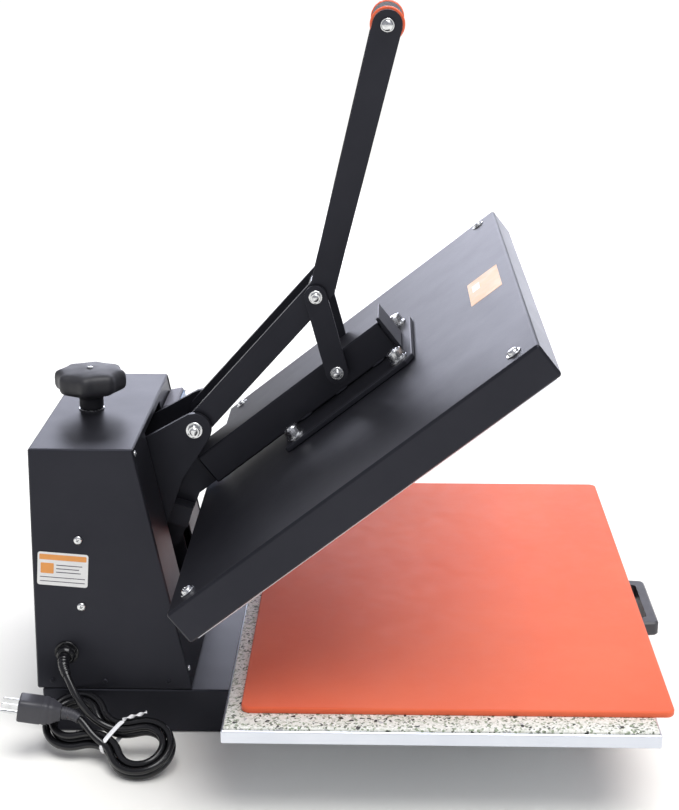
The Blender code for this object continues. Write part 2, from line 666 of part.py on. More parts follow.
def make_pressure_bracket(looks):
    """Two ear plates on a rear block, which the screw raises and lowers."""
    x, z = LEVER_PIVOT
    ear = [(-264, 240), (-196, 190), (-168, 196), (-160.3, 217.5), (-149.9, 246.4), (-133.6, 270.7)]
    ear += circle(LEVER_PIVOT, 17.5, 10, -35, 145)
    ear += [(-200, 283.5), (-264, 279)]
    bracket = prism("pressure_bracket", ear, -EAR_Y - EAR, -EAR_Y, looks["black_paint"])

    block = [(-263, 264), (-237, 264), (-237, 279.5), (-263, 278)]
    join(bracket, lambda bm: fill_prism(bm, block, -EAR_Y - 1, EAR_Y + 1))
    join(bracket, lambda bm: fill_prism(bm, ear, EAR_Y, EAR_Y + EAR))
    drill(bracket, [(KNOB_X, 0, 6.4)], 250, 300, "Z")
    drill(bracket, [(x, z, 7.3)], -60, 60)
    inside, outside = LEVER_BAR_Y - GAP, EAR_Y + EAR + GAP
    half = [(10, inside), (7, inside), (7, outside), (9.8, outside), (9.8, outside + 2),
            (7.6, outside + 2), (7.6, outside + 6)]
    profile = [(r, -y) for r, y in reversed(half)] + half
    pin = turned("lever_pin", profile, looks["zinc"], (x, 0, z))
    return [bracket, pin]


def make_knob(looks):
    head = [(11.5, 309), (12.5, 311), (12.5, 320), (17, 323), (30, 329), (34.5, 332), (KNOB_RADIUS, 335),
            (KNOB_RADIUS, 345), (33.5, 348.5), (28, 350), (14, 350.8)]
    knob = turned("pressure_knob", head, looks["knob_plastic"], (KNOB_X, 0, 0), "Z", 64, 8, 1.8)
    drill(knob, [(KNOB_X, 0, 6.3)], 300, 330, "Z")
    thread = [(5, 240), (6, 241), (6, 284), (11, 284), (11, 287.6), (6, 287.6), (6, 327), (5, 328)]
    screw = turned("pressure_screw", thread, looks["zinc"], (KNOB_X, 0, 0), "Z")
    return [knob, screw]


# ---------------------------------------------------------------- power cord

def hank_place():
    """Hank frame: X along it, Y across its loops, Z out of its upper face."""
    along = HANK_ALONG.normalized()
    level = Vector((-along.y, along.x, 0)).normalized()
    lift = along.cross(level)
    across = level * math.cos(HANK_LEAN) + lift * math.sin(HANK_LEAN)
    place = Matrix((along, across, along.cross(across))).transposed().to_4x4()
    return Matrix.Translation(HANK_MIDDLE) @ place


def hank_outline(out):
    """Round ends and a tied waist, set out from the inner turns' centre line."""
    rise = WAIST_RADIUS + WAIST_HALF
    x = math.sqrt((FOLD_RADIUS + WAIST_RADIUS) ** 2 - rise ** 2)
    neck = math.degrees(math.atan2(x, rise))
    points = circle((x, 0), FOLD_RADIUS + out, 18, -90 - neck, 180 + 2 * neck)
    points += circle((0, rise), WAIST_RADIUS - out, 8, neck - 90, -2 * neck)[1:-1]
    points += circle((-x, 0), FOLD_RADIUS + out, 18, 90 - neck, 180 + 2 * neck)
    points += circle((0, -rise), WAIST_RADIUS - out, 8, 90 + neck, -2 * neck)[1:-1]
    return points


def waist_width(x, out):
    """Half width of that outline at a place x near its waist."""
    return WAIST_RADIUS + WAIST_HALF - math.sqrt((WAIST_RADIUS - out) ** 2 - x ** 2)


def smooth_route(points, count):
    """Evenly many points on a smooth curve through the route's own points."""
    ends = [Vector(p) for p in points]
    ends = [ends[0] * 2 - ends[1]] + ends + [ends[-1] * 2 - ends[-2]]
    made = []
    spans = len(points) - 1
    for k in range(count + 1):
        at = min(spans - 1e-9, spans * k / count)
        i, t = int(at), at - int(at)
        a, b, c, d = ends[i:i + 4]
        made.append(0.5 * ((2 * b) + (c - a) * t + (2 * a - 5 * b + 4 * c - d) * t * t
                           + (3 * b - a - 3 * c + d) * t ** 3))
    return made


def tube(name, route, radii, look, sides=2):
    """A tube along a route; radii gives its radius at the start and at the end."""
    curve = bpy.data.curves.new(name, "CURVE")
    curve.dimensions = "3D"
    curve.bevel_depth = radii[0] * MM
    curve.bevel_resolution = sides
    curve.use_fill_caps = True
    line = curve.splines.new("POLY")
    line.points.add(len(route) - 1)
    for i, (point, target) in enumerate(zip(route, line.points)):
        target.co = (*(point * MM), 1.0)
        share = i / (len(route) - 1)
        target.radius = 1 + (radii[1] / radii[0] - 1) * share
    curve.materials.append(look)
    made = bpy.data.objects.new(name, curve)
    bpy.context.collection.objects.link(made)
    return made


def make_cord(looks):
    black = looks["cord_rubber"]
    wall = -COLUMN_HALF_Y
    profile = [(8.5, wall + 10), (8.5, wall - GAP), (12.5, wall - GAP), (12.5, wall - 4),
               (10.5, wall - 5), (10, wall - 9), (8, wall - 12)]
    gland = turned("cable_gland", profile, black, (GLAND_X, 0, GLAND_Z))
    relief = tube("strain_relief", smooth_route(RELIEF_ROUTE, 10), RELIEF_RADII, black)
    place, spot = hank_place(), plug_place()
    fall = [Vector(CORD_START)] + [place @ Vector(p) for p in CORD_FALL]
    cord = tube("power_cord", smooth_route(fall, 16), (CORD_RADIUS, CORD_RADIUS), black)
    rear = [spot @ Vector((PLUG_HALF[0] + out, 0, 0)) for out in (4.5, GAP)]
    way = [place @ Vector(p) for p in PLUG_LEAD] + rear
    lead = tube("plug_lead", smooth_route(way, 12), (CORD_RADIUS, CORD_RADIUS), black)

    around, half = LANE + CORD_RADIUS + GAP, LAYER + CORD_RADIUS + GAP
    hank = prism("cord_hank", hank_outline(around), -half, half, black, "Z", place, edge=3.0)
    wide, high = waist_width(TIE_X + TIE_HALF, around) + GAP, half + GAP
    outer_wide, outer_high = wide + TIE_THICK, high + TIE_THICK
    band = rounded([(-outer_wide, -outer_high), (outer_wide, -outer_high),
                    (outer_wide, outer_high), (-outer_wide, outer_high)], 3, 3)
    tie = prism("cord_tie", band, TIE_X - TIE_HALF, TIE_X + TIE_HALF, looks["tie_white"], "X", place)
    inner = [(-wide, -high), (wide, -high), (wide, high), (-wide, high)]
    cut(tie, lambda bm: fill_prism(bm, inner, TIE_X - 6, TIE_X + 6, "X", place))
    return [gland, relief, cord, lead, hank, tie, make_plug(spot, looks)]


def plug_place():
    """Plug frame: X from its middle to the end that the cord leaves."""
    spot = Matrix.Translation(PLUG_CENTRE) @ Matrix.Rotation(PLUG_TURN, 4, "Z")
    return spot @ Matrix.Rotation(PLUG_PITCH, 4, "Y")


def make_plug(spot, looks):
    long, wide, tall = PLUG_HALF
    shape = rounded([(-long, -wide), (long * 0.6, -wide), (long, -wide * 0.55), (long, wide * 0.55),
                     (long * 0.6, wide), (-long, wide)], 3, 3)
    plug = prism("plug", shape, -tall, tall, looks["plug_plastic"], "Z", spot, edge=2.0)

    def prongs(bm):
        for across in (-6.0, 6.0):
            blade = [(-long - BLADE_LONG, across - 0.8), (-long + 3, across - 0.8),
                     (-long + 3, across + 0.8), (-long - BLADE_LONG, across + 0.8)]
            fill_prism(bm, blade, -1, 5.5, "Z", spot)
        fill_prism(bm, circle((0, -6), 2.4, 12), -long - GROUND_LONG, -long + 3, "X", spot)
    join(plug, prongs)
    return plug


# ---------------------------------------------------------------- assembly

def make_looks():
    return {
        "black_paint": material("black_paint", (0.016, 0.016, 0.018), 0.42, 0.0),
        "grey_paint": material("grey_paint", (0.20, 0.20, 0.22), 0.5, 0.0),
        "zinc": material("zinc", (0.75, 0.76, 0.78), 0.25, 1.0),
        "aluminium": material("aluminium", (0.72, 0.74, 0.78), 0.4, 1.0),
        "speckled": material("speckled", (0.62, 0.64, 0.58), 0.7, 0.0),
        "silicone": material("silicone", (0.80, 0.16, 0.07), 0.55, 0.0),
        "felt": material("felt", (0.75, 0.72, 0.60), 0.95, 0.0),
        "dark_plastic": material("dark_plastic", (0.03, 0.03, 0.035), 0.5, 0.0),
        "light_plastic": material("light_plastic", (0.70, 0.72, 0.74), 0.5, 0.0),
        "red_plastic": material("red_plastic", (0.55, 0.03, 0.03), 0.4, 0.0),
        "knob_plastic": material("knob_plastic", (0.018, 0.018, 0.02), 0.3, 0.0),
        "grip_rubber": material("grip_rubber", (0.10, 0.11, 0.12), 0.8, 0.0),
        "blue_film": material("blue_film", (0.10, 0.25, 0.50), 0.35, 0.0),
        "dark_glass": material("dark_glass", (0.02, 0.01, 0.01), 0.1, 0.0),
        "board_green": material("board_green", (0.03, 0.22, 0.08), 0.6, 0.0),
        "cord_rubber": material("cord_rubber", (0.012, 0.012, 0.013), 0.35, 0.0),
        "plug_plastic": material("plug_plastic", (0.05, 0.05, 0.055), 0.5, 0.0),
        "tie_white": material("tie_white", (0.85, 0.85, 0.87), 0.5, 0.0),
    }


def main():
    clear_scene()
    looks = make_looks()
    make_base(looks)
    make_column(looks)
    make_column_frame(looks)
    make_springs(looks)
    make_controls(looks)
    make_buttons(looks)
    make_cord(looks)
    _, sliders = make_rails(looks)
    bed = make_bed(looks) + make_bed_handle(looks)
    hang_on(joint_frame("bed_axis", BED_X[0], BED_LOW), bed + sliders)

    hang_on(joint_frame("platen_axis", *HINGE), make_platen(looks) + make_arm(looks))
    hang_on(joint_frame("link_axis", *LINK_PIVOT), make_links(looks))
    hang_on(joint_frame("lever_axis", *LEVER_PIVOT), make_lever(looks))
    hang_on(joint_frame("bracket_axis", KNOB_X, 272), make_pressure_bracket(looks))
    hang_on(joint_frame("knob_axis", KNOB_X, COLUMN_TOP), make_knob(looks))


main()
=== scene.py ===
"""Visual model of a clamshell heat-transfer printing press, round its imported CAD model.

Lengths below are in millimetres in the CAD's frame and become metres when a mesh is made.
+X is the front, +Y the operator's right, +Z up; the origin is under the base's centre.
"""
import json
import math
import random

import bmesh
import bpy
from mathutils import Matrix, Vector

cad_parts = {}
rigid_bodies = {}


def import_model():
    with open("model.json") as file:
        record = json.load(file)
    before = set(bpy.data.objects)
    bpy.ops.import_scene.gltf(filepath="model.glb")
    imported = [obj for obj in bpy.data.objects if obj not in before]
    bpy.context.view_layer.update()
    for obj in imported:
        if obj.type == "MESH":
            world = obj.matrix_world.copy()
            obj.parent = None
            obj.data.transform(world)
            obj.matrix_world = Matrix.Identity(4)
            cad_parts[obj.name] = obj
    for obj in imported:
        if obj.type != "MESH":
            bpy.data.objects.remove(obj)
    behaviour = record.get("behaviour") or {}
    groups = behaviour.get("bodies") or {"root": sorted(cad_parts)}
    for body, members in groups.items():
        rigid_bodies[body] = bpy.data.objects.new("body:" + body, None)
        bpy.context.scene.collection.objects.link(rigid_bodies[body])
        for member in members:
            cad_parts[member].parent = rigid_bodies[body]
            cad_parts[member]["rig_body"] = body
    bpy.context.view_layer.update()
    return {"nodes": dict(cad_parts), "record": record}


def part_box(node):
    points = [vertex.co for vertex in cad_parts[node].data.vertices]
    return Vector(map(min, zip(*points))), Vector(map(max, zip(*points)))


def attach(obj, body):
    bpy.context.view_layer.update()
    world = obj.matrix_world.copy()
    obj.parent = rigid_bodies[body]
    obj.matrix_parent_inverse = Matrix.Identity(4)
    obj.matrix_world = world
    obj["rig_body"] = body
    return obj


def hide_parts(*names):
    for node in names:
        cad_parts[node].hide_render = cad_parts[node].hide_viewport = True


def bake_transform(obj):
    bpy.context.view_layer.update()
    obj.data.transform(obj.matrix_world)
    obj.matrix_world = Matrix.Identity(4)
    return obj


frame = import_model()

NODES = frame["nodes"]
MM = 0.001
RNG = random.Random(7)

# The studio, in metres
FLOOR_HALF, FLOOR_LEVEL, BACKDROP_RADIUS = 60, -0.0006, 50

# The CAD's own places
TILT = math.radians(38.06)
COVER_REAR_TOP = (-134.9, 0.0, 211.0)
LEVER_PIVOT, TOGGLE_PIVOT = (-136.4, 299.2), (-10.9, 439.3)
LINK_PIVOT, GRIP_CENTRE = (10.4, 360.4), (59.3, 706.3)
COLUMN_FRONT, COLUMN_SLOPE = (-187.0, 307.5), (51.5, -259.2)
SPRING_ROD, SPRING_HOOK, SPRING_Y = (-277.0, 262.0), (-166.0, 207.5), 29.0
SPRING_WIRE = 0.9
KNOB_X = -249.8
HOUSING_SIDE = 133.0
SCREW_SIDE = HOUSING_SIDE + 0.05

# The power cord, as in the CAD
CORD_RADIUS = 3.75
RELIEF_ROUTE = [(-262.5, -145.3, 89.5), (-262.2, -152.0, 89.0), (-260.5, -160.0, 86.0),
                (-256.5, -167.0, 80.0)]
CORD_START = (-255.7, -167.9, 78.7)
CORD_FALL = [(-32.5, 6.0, 32.5), (-21.0, 2.6, 20.0), (-12.6, 2.4, 12.8), (-4.0, 3.2, 8.0),
             (5.0, 5.0, 5.0)]
PLUG_LEAD = [(3.0, -13.6, 5.2), (-5.0, -12.8, 8.8), (-12.6, -10.4, 12.2), (-19.0, -7.6, 14.6),
             (-27.0, -4.9, 16.6), (-35.4, -4.7, 18.6)]
HANK_MIDDLE, HANK_ALONG = (-215.0, -184.8, 25.5), (86.0, -45.0, -11.0)
HANK_LEAN = math.radians(25)
FOLD_RADIUS, WAIST_RADIUS, WAIST_HALF = 22.5, 36.0, 5.5
LANE, LAYER, TIE_X = 7.7, 3.85, 8.0
PLUG_CENTRE, PLUG_HALF = (-282.3, -181.8, 50.0), (21.0, 12.5, 12.0)
PLUG_TURN, PLUG_PITCH = math.radians(4), math.radians(10)


# ---- camera and light

def make_camera():
    yaw, pitch, roll = math.radians(-1.684), math.radians(17.367), math.radians(0.151)
    ahead = Vector((math.sin(yaw) * math.cos(pitch), math.cos(yaw) * math.cos(pitch),
                    -math.sin(pitch)))
    level = Vector((math.cos(yaw), -math.sin(yaw), 0))
    down = ahead.cross(level)
    right = level * math.cos(roll) + down * math.sin(roll)
    down = down * math.cos(roll) - level * math.sin(roll)
    turn = Matrix((right, -down, -ahead)).transposed().to_4x4()
    data = bpy.data.cameras.new("camera")
    data.sensor_width, data.lens = 36.0, 71.31
    data.clip_start, data.clip_end = 0.05, 200.0
    camera = linked("camera", data)
    camera.matrix_world = Matrix.Translation((0.0587, -1.6063, 0.8154)) @ turn
    bpy.context.scene.camera = camera


def area_light(name, place, target, size, power, color=(1, 1, 1)):
    data = bpy.data.lights.new(name, "AREA")
    data.shape, data.size, data.size_y = "RECTANGLE", size[0], size[1]
    data.energy, data.color = power, color
    aimed_light(data, place, target).visible_camera = False


def aimed_light(data, place, target):
    light = linked(data.name, data)
    light.location = place
    way = Vector(target) - Vector(place)
    light.rotation_euler = way.to_track_quat("-Z", "Y").to_euler()
    return light


def linked(name, data):
    made = bpy.data.objects.new(name, data)
    bpy.context.scene.collection.objects.link(made)
    return made


def staged(name, bm, material):
    """A mesh in metres that is part of the studio."""
    mesh = bpy.data.meshes.new(name)
    bm.to_mesh(mesh)
    bm.free()
    mesh.materials.append(material)
    made = linked(name, mesh)
    return made


def make_studio():
    bpy.context.scene.view_settings.view_transform = "Standard"
    world = bpy.data.worlds.new("studio")
    world.use_nodes = True
    back = world.node_tree.nodes["Background"]
    back.inputs["Color"].default_value = (0.90, 0.91, 1.0, 1.0)
    back.inputs["Strength"].default_value = 0.42
    bpy.context.scene.world = world
    data = bpy.data.lights.new("overhead", "SUN")
    data.energy, data.angle = 2.5, math.radians(42)
    aimed_light(data, (0.45, -0.55, 2.2), (0, 0, 0))
    area_light("behind", (-0.25, 2.9, 1.25), (0.15, 0, 0.35), (1.9, 1.2), 36,
               (0.84, 0.86, 1.0))
    area_light("low", (0.9, 2.3, 0.28), (0.25, 0, 0.4), (1.6, 0.45), 9, (0.84, 0.86, 1.0))
    area_light("front", (0.9, -2.0, 2.2), (0.1, 0, 0.2), (1.4, 1.0), 5)
    make_floor()
    make_backdrop()


def make_floor():
    bm = bmesh.new()
    signs = ((-1, -1), (1, -1), (1, 1), (-1, 1))
    bm.faces.new([bm.verts.new((x * FLOOR_HALF, y * FLOOR_HALF, FLOOR_LEVEL)) for x, y in signs])
    staged("floor", bm, look_floor())


def make_backdrop():
    """A far white wall all round, which only the camera sees, so it lights nothing."""
    bm = bmesh.new()
    ring = [(BACKDROP_RADIUS * math.cos(a), BACKDROP_RADIUS * math.sin(a))
            for a in (math.pi / 32 * k for k in range(64))]
    low, high = ([bm.verts.new((x, y, z)) for x, y in ring] for z in (-0.5, 60.0))
    for i in range(64):
        j = (i + 1) % 64
        bm.faces.new((low[i], low[j], high[j], high[i]))
    wall = staged("backdrop", bm, look_backdrop())
    wall.visible_diffuse = wall.visible_glossy = wall.visible_shadow = False
    wall.visible_transmission = wall.visible_volume_scatter = False


# ---- materials

class Look:
    """A node material with the object's own coordinates, in metres."""

    def __init__(self, name, color, roughness=0.5, metallic=0.0):
        self.material = bpy.data.materials.new(name)
        self.material.use_nodes = True
        self.material.diffuse_color = (*color, 1)
        self.nodes, self.links = self.material.node_tree.nodes, self.material.node_tree.links
        self.shader = self.nodes["Principled BSDF"]
        self.set("Base Color", (*color, 1))
        self.set("Roughness", roughness)
        self.set("Metallic", metallic)
        self.place = self.nodes.new("ShaderNodeTexCoord").outputs["Object"]
        self.normal = None

    def set(self, socket, value):
        self.shader.inputs[socket].default_value = value

    def link(self, source, target):
        self.links.new(source, target)

    def stretched(self, scale):
        node = self.nodes.new("ShaderNodeMapping")
        node.inputs["Scale"].default_value = scale
        self.link(self.place, node.inputs["Vector"])
        return node.outputs["Vector"]

    def noise(self, scale, detail=3.0, rough=0.55, place=None):
        node = self.nodes.new("ShaderNodeTexNoise")
        node.inputs["Scale"].default_value = scale
        node.inputs["Detail"].default_value = detail
        node.inputs["Roughness"].default_value = rough
        self.link(place or self.place, node.inputs["Vector"])
        return node.outputs["Fac"]

    def cells(self, scale, feature="F1", output="Distance", place=None):
        node = self.nodes.new("ShaderNodeTexVoronoi")
        node.feature = feature
        node.inputs["Scale"].default_value = scale
        self.link(place or self.place, node.inputs["Vector"])
        return node.outputs[output]

    def ramp(self, source, stops, step="LINEAR"):
        node = self.nodes.new("ShaderNodeValToRGB")
        node.color_ramp.interpolation = step
        points = node.color_ramp.elements
        while len(points) < len(stops):
            points.new(0.5)
        for point, (at, color) in zip(points, stops):
            point.position = at
            point.color = (*color, 1) if len(color) == 3 else color
        self.link(source, node.inputs["Fac"])
        return node.outputs["Color"]

    def range(self, source, low, high, start=0.3, end=0.7):
        node = self.nodes.new("ShaderNodeMapRange")
        values = {"From Min": start, "From Max": end, "To Min": low, "To Max": high}
        for key, value in values.items():
            node.inputs[key].default_value = value
        self.link(source, node.inputs["Value"])
        return node.outputs["Result"]

    def mix(self, share, one, two, way="MIX"):
        node = self.nodes.new("ShaderNodeMix")
        node.data_type, node.blend_type = "RGBA", way
        for socket, value in ((0, share), (6, one), (7, two)):
            if isinstance(value, (float, int)):
                node.inputs[socket].default_value = value
            elif isinstance(value, tuple):
                node.inputs[socket].default_value = (*value, 1)
            else:
                self.link(value, node.inputs[socket])
        return node.outputs[2]

    def color(self, source):
        self.link(source, self.shader.inputs["Base Color"])

    def mottled(self, noise, one, two, start=0.3, end=0.7):
        self.color(self.mix(self.range(noise, 0, 1, start, end), one, two))

    def rough(self, source, low, high, start=0.3, end=0.7):
        self.link(self.range(source, low, high, start, end), self.shader.inputs["Roughness"])

    def bump(self, source, depth):
        """Adds a height of depth millimetres to the surface."""
        node = self.nodes.new("ShaderNodeBump")
        node.inputs["Strength"].default_value = 1.0
        node.inputs["Distance"].default_value = depth * MM
        self.link(source, node.inputs["Height"])
        if self.normal is not None:
            self.link(self.normal, node.inputs["Normal"])
        self.normal = node.outputs["Normal"]
        self.link(self.normal, self.shader.inputs["Normal"])


def look_floor():
    look = Look("floor_paper", (0.96, 0.95, 0.90), 0.75)
    look.set("Emission Color", (0.97, 0.98, 1.0, 1))
    look.set("Emission Strength", 0.03)
    look.set("Specular IOR Level", 0.1)
    look.rough(look.noise(6.0, 4), 0.7, 0.85)
    look.bump(look.noise(700, 2), 0.05)
    return look.material


def look_backdrop():
    look = Look("backdrop_white", (0.9, 0.9, 0.9), 0.9)
    look.set("Emission Color", (1, 1, 1, 1))
    look.set("Emission Strength", 1.0)
    look.rough(look.noise(0.2, 2), 0.8, 0.9)
    return look.material


def powder(name, color, roughness, speck):
    """Powder coat: fine orange peel, slightly uneven gloss, a little dust."""
    look = Look(name, color, roughness)
    look.set("Specular IOR Level", 0.40)
    look.set("Specular Tint", (0.80, 0.82, 1.0, 1))
    broad = look.noise(9.0, 5, 0.6)
    lighter = tuple(min(1, c * 1.35 + 0.003) for c in color)
    base = look.mix(look.range(broad, 0, 1, 0.35, 0.7), color, lighter)
    dust = look.ramp(look.noise(950, 1), [(0.0, (0, 0, 0)), (0.72, (0, 0, 0)), (0.78, (1, 1, 1))])
    look.color(look.mix(look.range(dust, 0, 0.35, 0, 1), base, speck))
    look.rough(look.noise(24.0, 6, 0.65), roughness - 0.015, roughness + 0.02)
    look.bump(look.noise(620, 2), 0.035)
    look.bump(look.cells(1500), 0.012)
    return look.material


def plated(name, color, low, high, scale):
    look = Look(name, color, low, 1.0)
    blotch = look.noise(scale, 4)
    darker = tuple(c * 0.72 for c in color)
    look.mottled(blotch, color, darker, 0.3, 0.75)
    look.rough(look.noise(scale * 3, 5), low, high)
    look.bump(look.noise(900, 2), 0.015)
    return look.material


def brushed(name, color):
    look = Look(name, color, 0.36, 1.0)
    streak = look.noise(1.0, 6, 0.7, look.stretched((9, 1500, 1500)))
    cloud = look.noise(7.0, 4)
    look.color(look.mix(look.range(cloud, 0.0, 0.6, 0.35, 0.7), color, (0.58, 0.62, 0.70)))
    look.rough(streak, 0.28, 0.48)
    look.bump(streak, 0.02)
    return look.material


def speckled(name):
    """Composite board: off-white ground with small black, green, grey and tan chips."""
    look = Look(name, (0.72, 0.73, 0.66), 0.6)
    wobble = look.noise(500, 2)
    bent = look.mix(0.0015, look.place, wobble, "ADD")
    chips = look.cells(520, "F1", "Color", bent)
    coarse = look.cells(300, "F1", "Color", bent)
    fine = look.ramp(chips, [(0.0, (0.16, 0.18, 0.14)), (0.20, (0.30, 0.36, 0.25)),
                             (0.30, (0.52, 0.53, 0.46)), (0.34, (0.78, 0.79, 0.73)),
                             (0.62, (0.66, 0.68, 0.60)), (0.72, (0.88, 0.88, 0.83))], "CONSTANT")
    large = look.ramp(coarse, [(0.0, (0.03, 0.032, 0.03)), (0.11, (0.5, 0.5, 0.5)),
                               (0.78, (0.84, 0.83, 0.77))], "CONSTANT")
    share = look.ramp(coarse, [(0.0, (1, 1, 1)), (0.13, (0, 0, 0)), (0.78, (0.7, 0.7, 0.7))],
                      "CONSTANT")
    look.color(look.mix(share, fine, large))
    look.rough(wobble, 0.45, 0.7)
    look.bump(wobble, 0.06)
    return look.material


def silicone(name):
    look = Look(name, (0.80, 0.140, 0.070), 0.62)
    look.set("Specular IOR Level", 0.22)
    look.set("Sheen Weight", 0.12)
    look.set("Sheen Roughness", 0.6)
    cloud = look.noise(5.0, 5, 0.6)
    base = look.mix(look.range(cloud, 0, 1, 0.35, 0.68), (0.79, 0.128, 0.050), (0.84, 0.158, 0.066))
    pores = look.ramp(look.noise(1700, 2),
                      [(0.0, (0.8, 0.8, 0.8)), (0.5, (1, 1, 1)), (1, (1, 1, 1))])
    look.color(look.mix(0.6, base, pores, "MULTIPLY"))
    look.rough(look.noise(60, 6), 0.58, 0.68)
    look.bump(look.noise(1500, 2), 0.05)
    look.bump(look.noise(22, 3), 0.03)
    return look.material


def moulded(name, color, low, high, grain, depth):
    look = Look(name, color, low)
    lighter = tuple(min(1, c * 1.3 + 0.002) for c in color)
    look.mottled(look.noise(30, 4), color, lighter)
    look.rough(look.noise(45, 5), low, high)
    look.bump(look.noise(grain, 3), depth)
    return look.material


def foam(name):
    look = Look(name, (0.085, 0.088, 0.095), 0.85)
    holes = look.cells(900)
    # Pore centres, where the bump sinks deepest, are coloured darkest: painted shade in the pores,
    # on a dark grey foam
    look.color(look.ramp(holes, [(0.0, (0.035, 0.037, 0.040)), (0.5, (0.10, 0.105, 0.11)),
                                 (1.0, (0.14, 0.145, 0.15))]))
    look.rough(look.noise(120, 3), 0.75, 0.95)
    look.bump(holes, 0.25)
    return look.material


def felt(name):
    look = Look(name, (0.72, 0.69, 0.58), 0.95)
    strands = look.noise(1.0, 5, 0.7, look.stretched((500, 70, 500)))
    look.color(look.ramp(strands, [(0.2, (0.50, 0.47, 0.38)), (0.8, (0.82, 0.79, 0.68))]))
    look.bump(strands, 0.4)
    return look.material


def printed_film(name):
    """Blue film, slightly uneven, under a clear matt face."""
    look = Look(name, (0.07, 0.22, 0.50), 0.32)
    look.set("Coat Weight", 0.3)
    look.set("Coat Roughness", 0.25)
    shade = look.noise(18.0, 3)
    look.mottled(shade, (0.06, 0.20, 0.47), (0.11, 0.29, 0.58))
    look.rough(look.noise(200, 3), 0.28, 0.4)
    look.bump(look.noise(1200, 2), 0.02)
    return look.material


def circuit(name):
    look = Look(name, (0.02, 0.16, 0.06), 0.4)
    lines = look.cells(240, "DISTANCE_TO_EDGE")
    look.color(look.ramp(lines, [(0.0, (0.10, 0.34, 0.13)), (0.08, (0.02, 0.15, 0.055)),
                                 (1.0, (0.02, 0.17, 0.06))]))
    look.bump(lines, 0.05)
    return look.material


def smoked(name):
    look = Look(name, (0.012, 0.006, 0.007), 0.08)
    look.set("Coat Weight", 0.6)
    look.set("Coat Roughness", 0.05)
    look.rough(look.noise(90, 4), 0.05, 0.12)
    look.bump(look.noise(300, 2), 0.01)
    return look.material


def label_film(name, color):
    look = Look(name, color, 0.42)
    look.mottled(look.noise(60, 4), color, tuple(c * 0.93 for c in color))
    look.rough(look.noise(90, 3), 0.36, 0.5)
    look.bump(look.noise(260, 3), 0.03)
    return look.material


# Each finish: the rule that makes it, and the rule's values
FINISHES = {
    "black_paint": (powder, (0.0068, 0.0068, 0.0088), 0.42, (0.014, 0.014, 0.018)),
    "grey_paint": (powder, (0.075, 0.072, 0.085), 0.45, (0.16, 0.16, 0.17)),
    "zinc": (plated, (0.80, 0.81, 0.82), 0.14, 0.32, 140),
    "aluminium": (brushed, (0.76, 0.79, 0.85)),
    "speckled": (speckled,),
    "silicone": (silicone,),
    "felt": (felt,),
    "dark_plastic": (moulded, (0.040, 0.040, 0.046), 0.36, 0.48, 1300, 0.06),
    "light_plastic": (moulded, (0.66, 0.68, 0.70), 0.38, 0.5, 1300, 0.03),
    "red_plastic": (moulded, (0.52, 0.022, 0.018), 0.28, 0.4, 1300, 0.02),
    "knob_plastic": (moulded, (0.022, 0.022, 0.026), 0.46, 0.58, 420, 0.03),
    "grip_rubber": (foam,),
    "blue_film": (printed_film,),
    "dark_glass": (smoked,),
    "board_green": (circuit,),
    "cord_rubber": (moulded, (0.004, 0.004, 0.005), 0.15, 0.26, 800, 0.03),
    "plug_plastic": (moulded, (0.042, 0.042, 0.050), 0.40, 0.52, 1100, 0.05),
    "tie_white": (moulded, (0.80, 0.80, 0.83), 0.40, 0.55, 600, 0.05),
    "label_white": (label_film, (0.80, 0.80, 0.79)),
    "label_orange": (label_film, (0.80, 0.33, 0.08)),
    "label_peach": (label_film, (0.84, 0.46, 0.20)),
    "collar_orange": (moulded, (0.80, 0.13, 0.05), 0.4, 0.5, 900, 0.04),
}
LOOKS = {name: rule(name, *values) for name, (rule, *values) in FINISHES.items()}


# ---- mesh helpers

def piece(name, bm, look, body, replaces=(), smooth=35, edge=0.0, segments=3):
    """A mesh in millimetres becomes a piece that rides on a body."""
    bmesh.ops.recalc_face_normals(bm, faces=bm.faces)
    bmesh.ops.scale(bm, vec=(MM, MM, MM), verts=bm.verts)
    mesh = bpy.data.meshes.new(name)
    bm.to_mesh(mesh)
    bm.free()
    mesh.materials.append(LOOKS[look])
    made = linked(name, mesh)
    finish_edges(made, smooth, edge, segments)
    if body is not None:
        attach(made, body)
    if replaces:
        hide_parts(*replaces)
    return made


def finish_edges(made, smooth, edge, segments):
    made.data.shade_smooth()
    if edge:
        bevel = made.modifiers.new("edges", "BEVEL")
        bevel.width, bevel.segments = edge * MM, segments
        bevel.limit_method, bevel.angle_limit = "ANGLE", math.radians(smooth)
        weigh = made.modifiers.new("faces", "WEIGHTED_NORMAL")
        weigh.weight, weigh.keep_sharp = 100, True
    else:
        made.data.set_sharp_from_angle(angle=math.radians(smooth))


def refined(node, edge, segments=3):
    """A copy of a CAD node with rounded edges, which stands for it."""
    bm = bmesh.new()
    bm.from_mesh(NODES[node].data)
    bmesh.ops.remove_doubles(bm, verts=bm.verts, dist=2e-6)
    bmesh.ops.scale(bm, vec=(1 / MM,) * 3, verts=bm.verts)
    record_slot = next(p["material_slot"] for p in frame["record"]["subparts"] if p["node"] == node)
    return piece(node + "_skin", bm, record_slot, NODES[node]["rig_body"],
                 (node,), 32, edge, segments)


def axis_place(origin, way, side=(0, 0, 1)):
    """A frame whose Z axis points along way."""
    z = Vector(way).normalized()
    x = Vector(side) - z * Vector(side).dot(z)
    if x.length < 1e-3:
        x = Vector((1, 0, 0)) - z * z.x
    x.normalize()
    turn = Matrix((x, z.cross(x), z)).transposed().to_4x4()
    return Matrix.Translation(origin) @ turn


def tilted_place():
    along = Vector((math.cos(TILT), 0, math.sin(TILT)))
    up = Vector((-math.sin(TILT), 0, math.cos(TILT)))
    place = Matrix((along, Vector((0, 1, 0)), up)).transposed().to_4x4()
    return Matrix.Translation(COVER_REAR_TOP) @ place


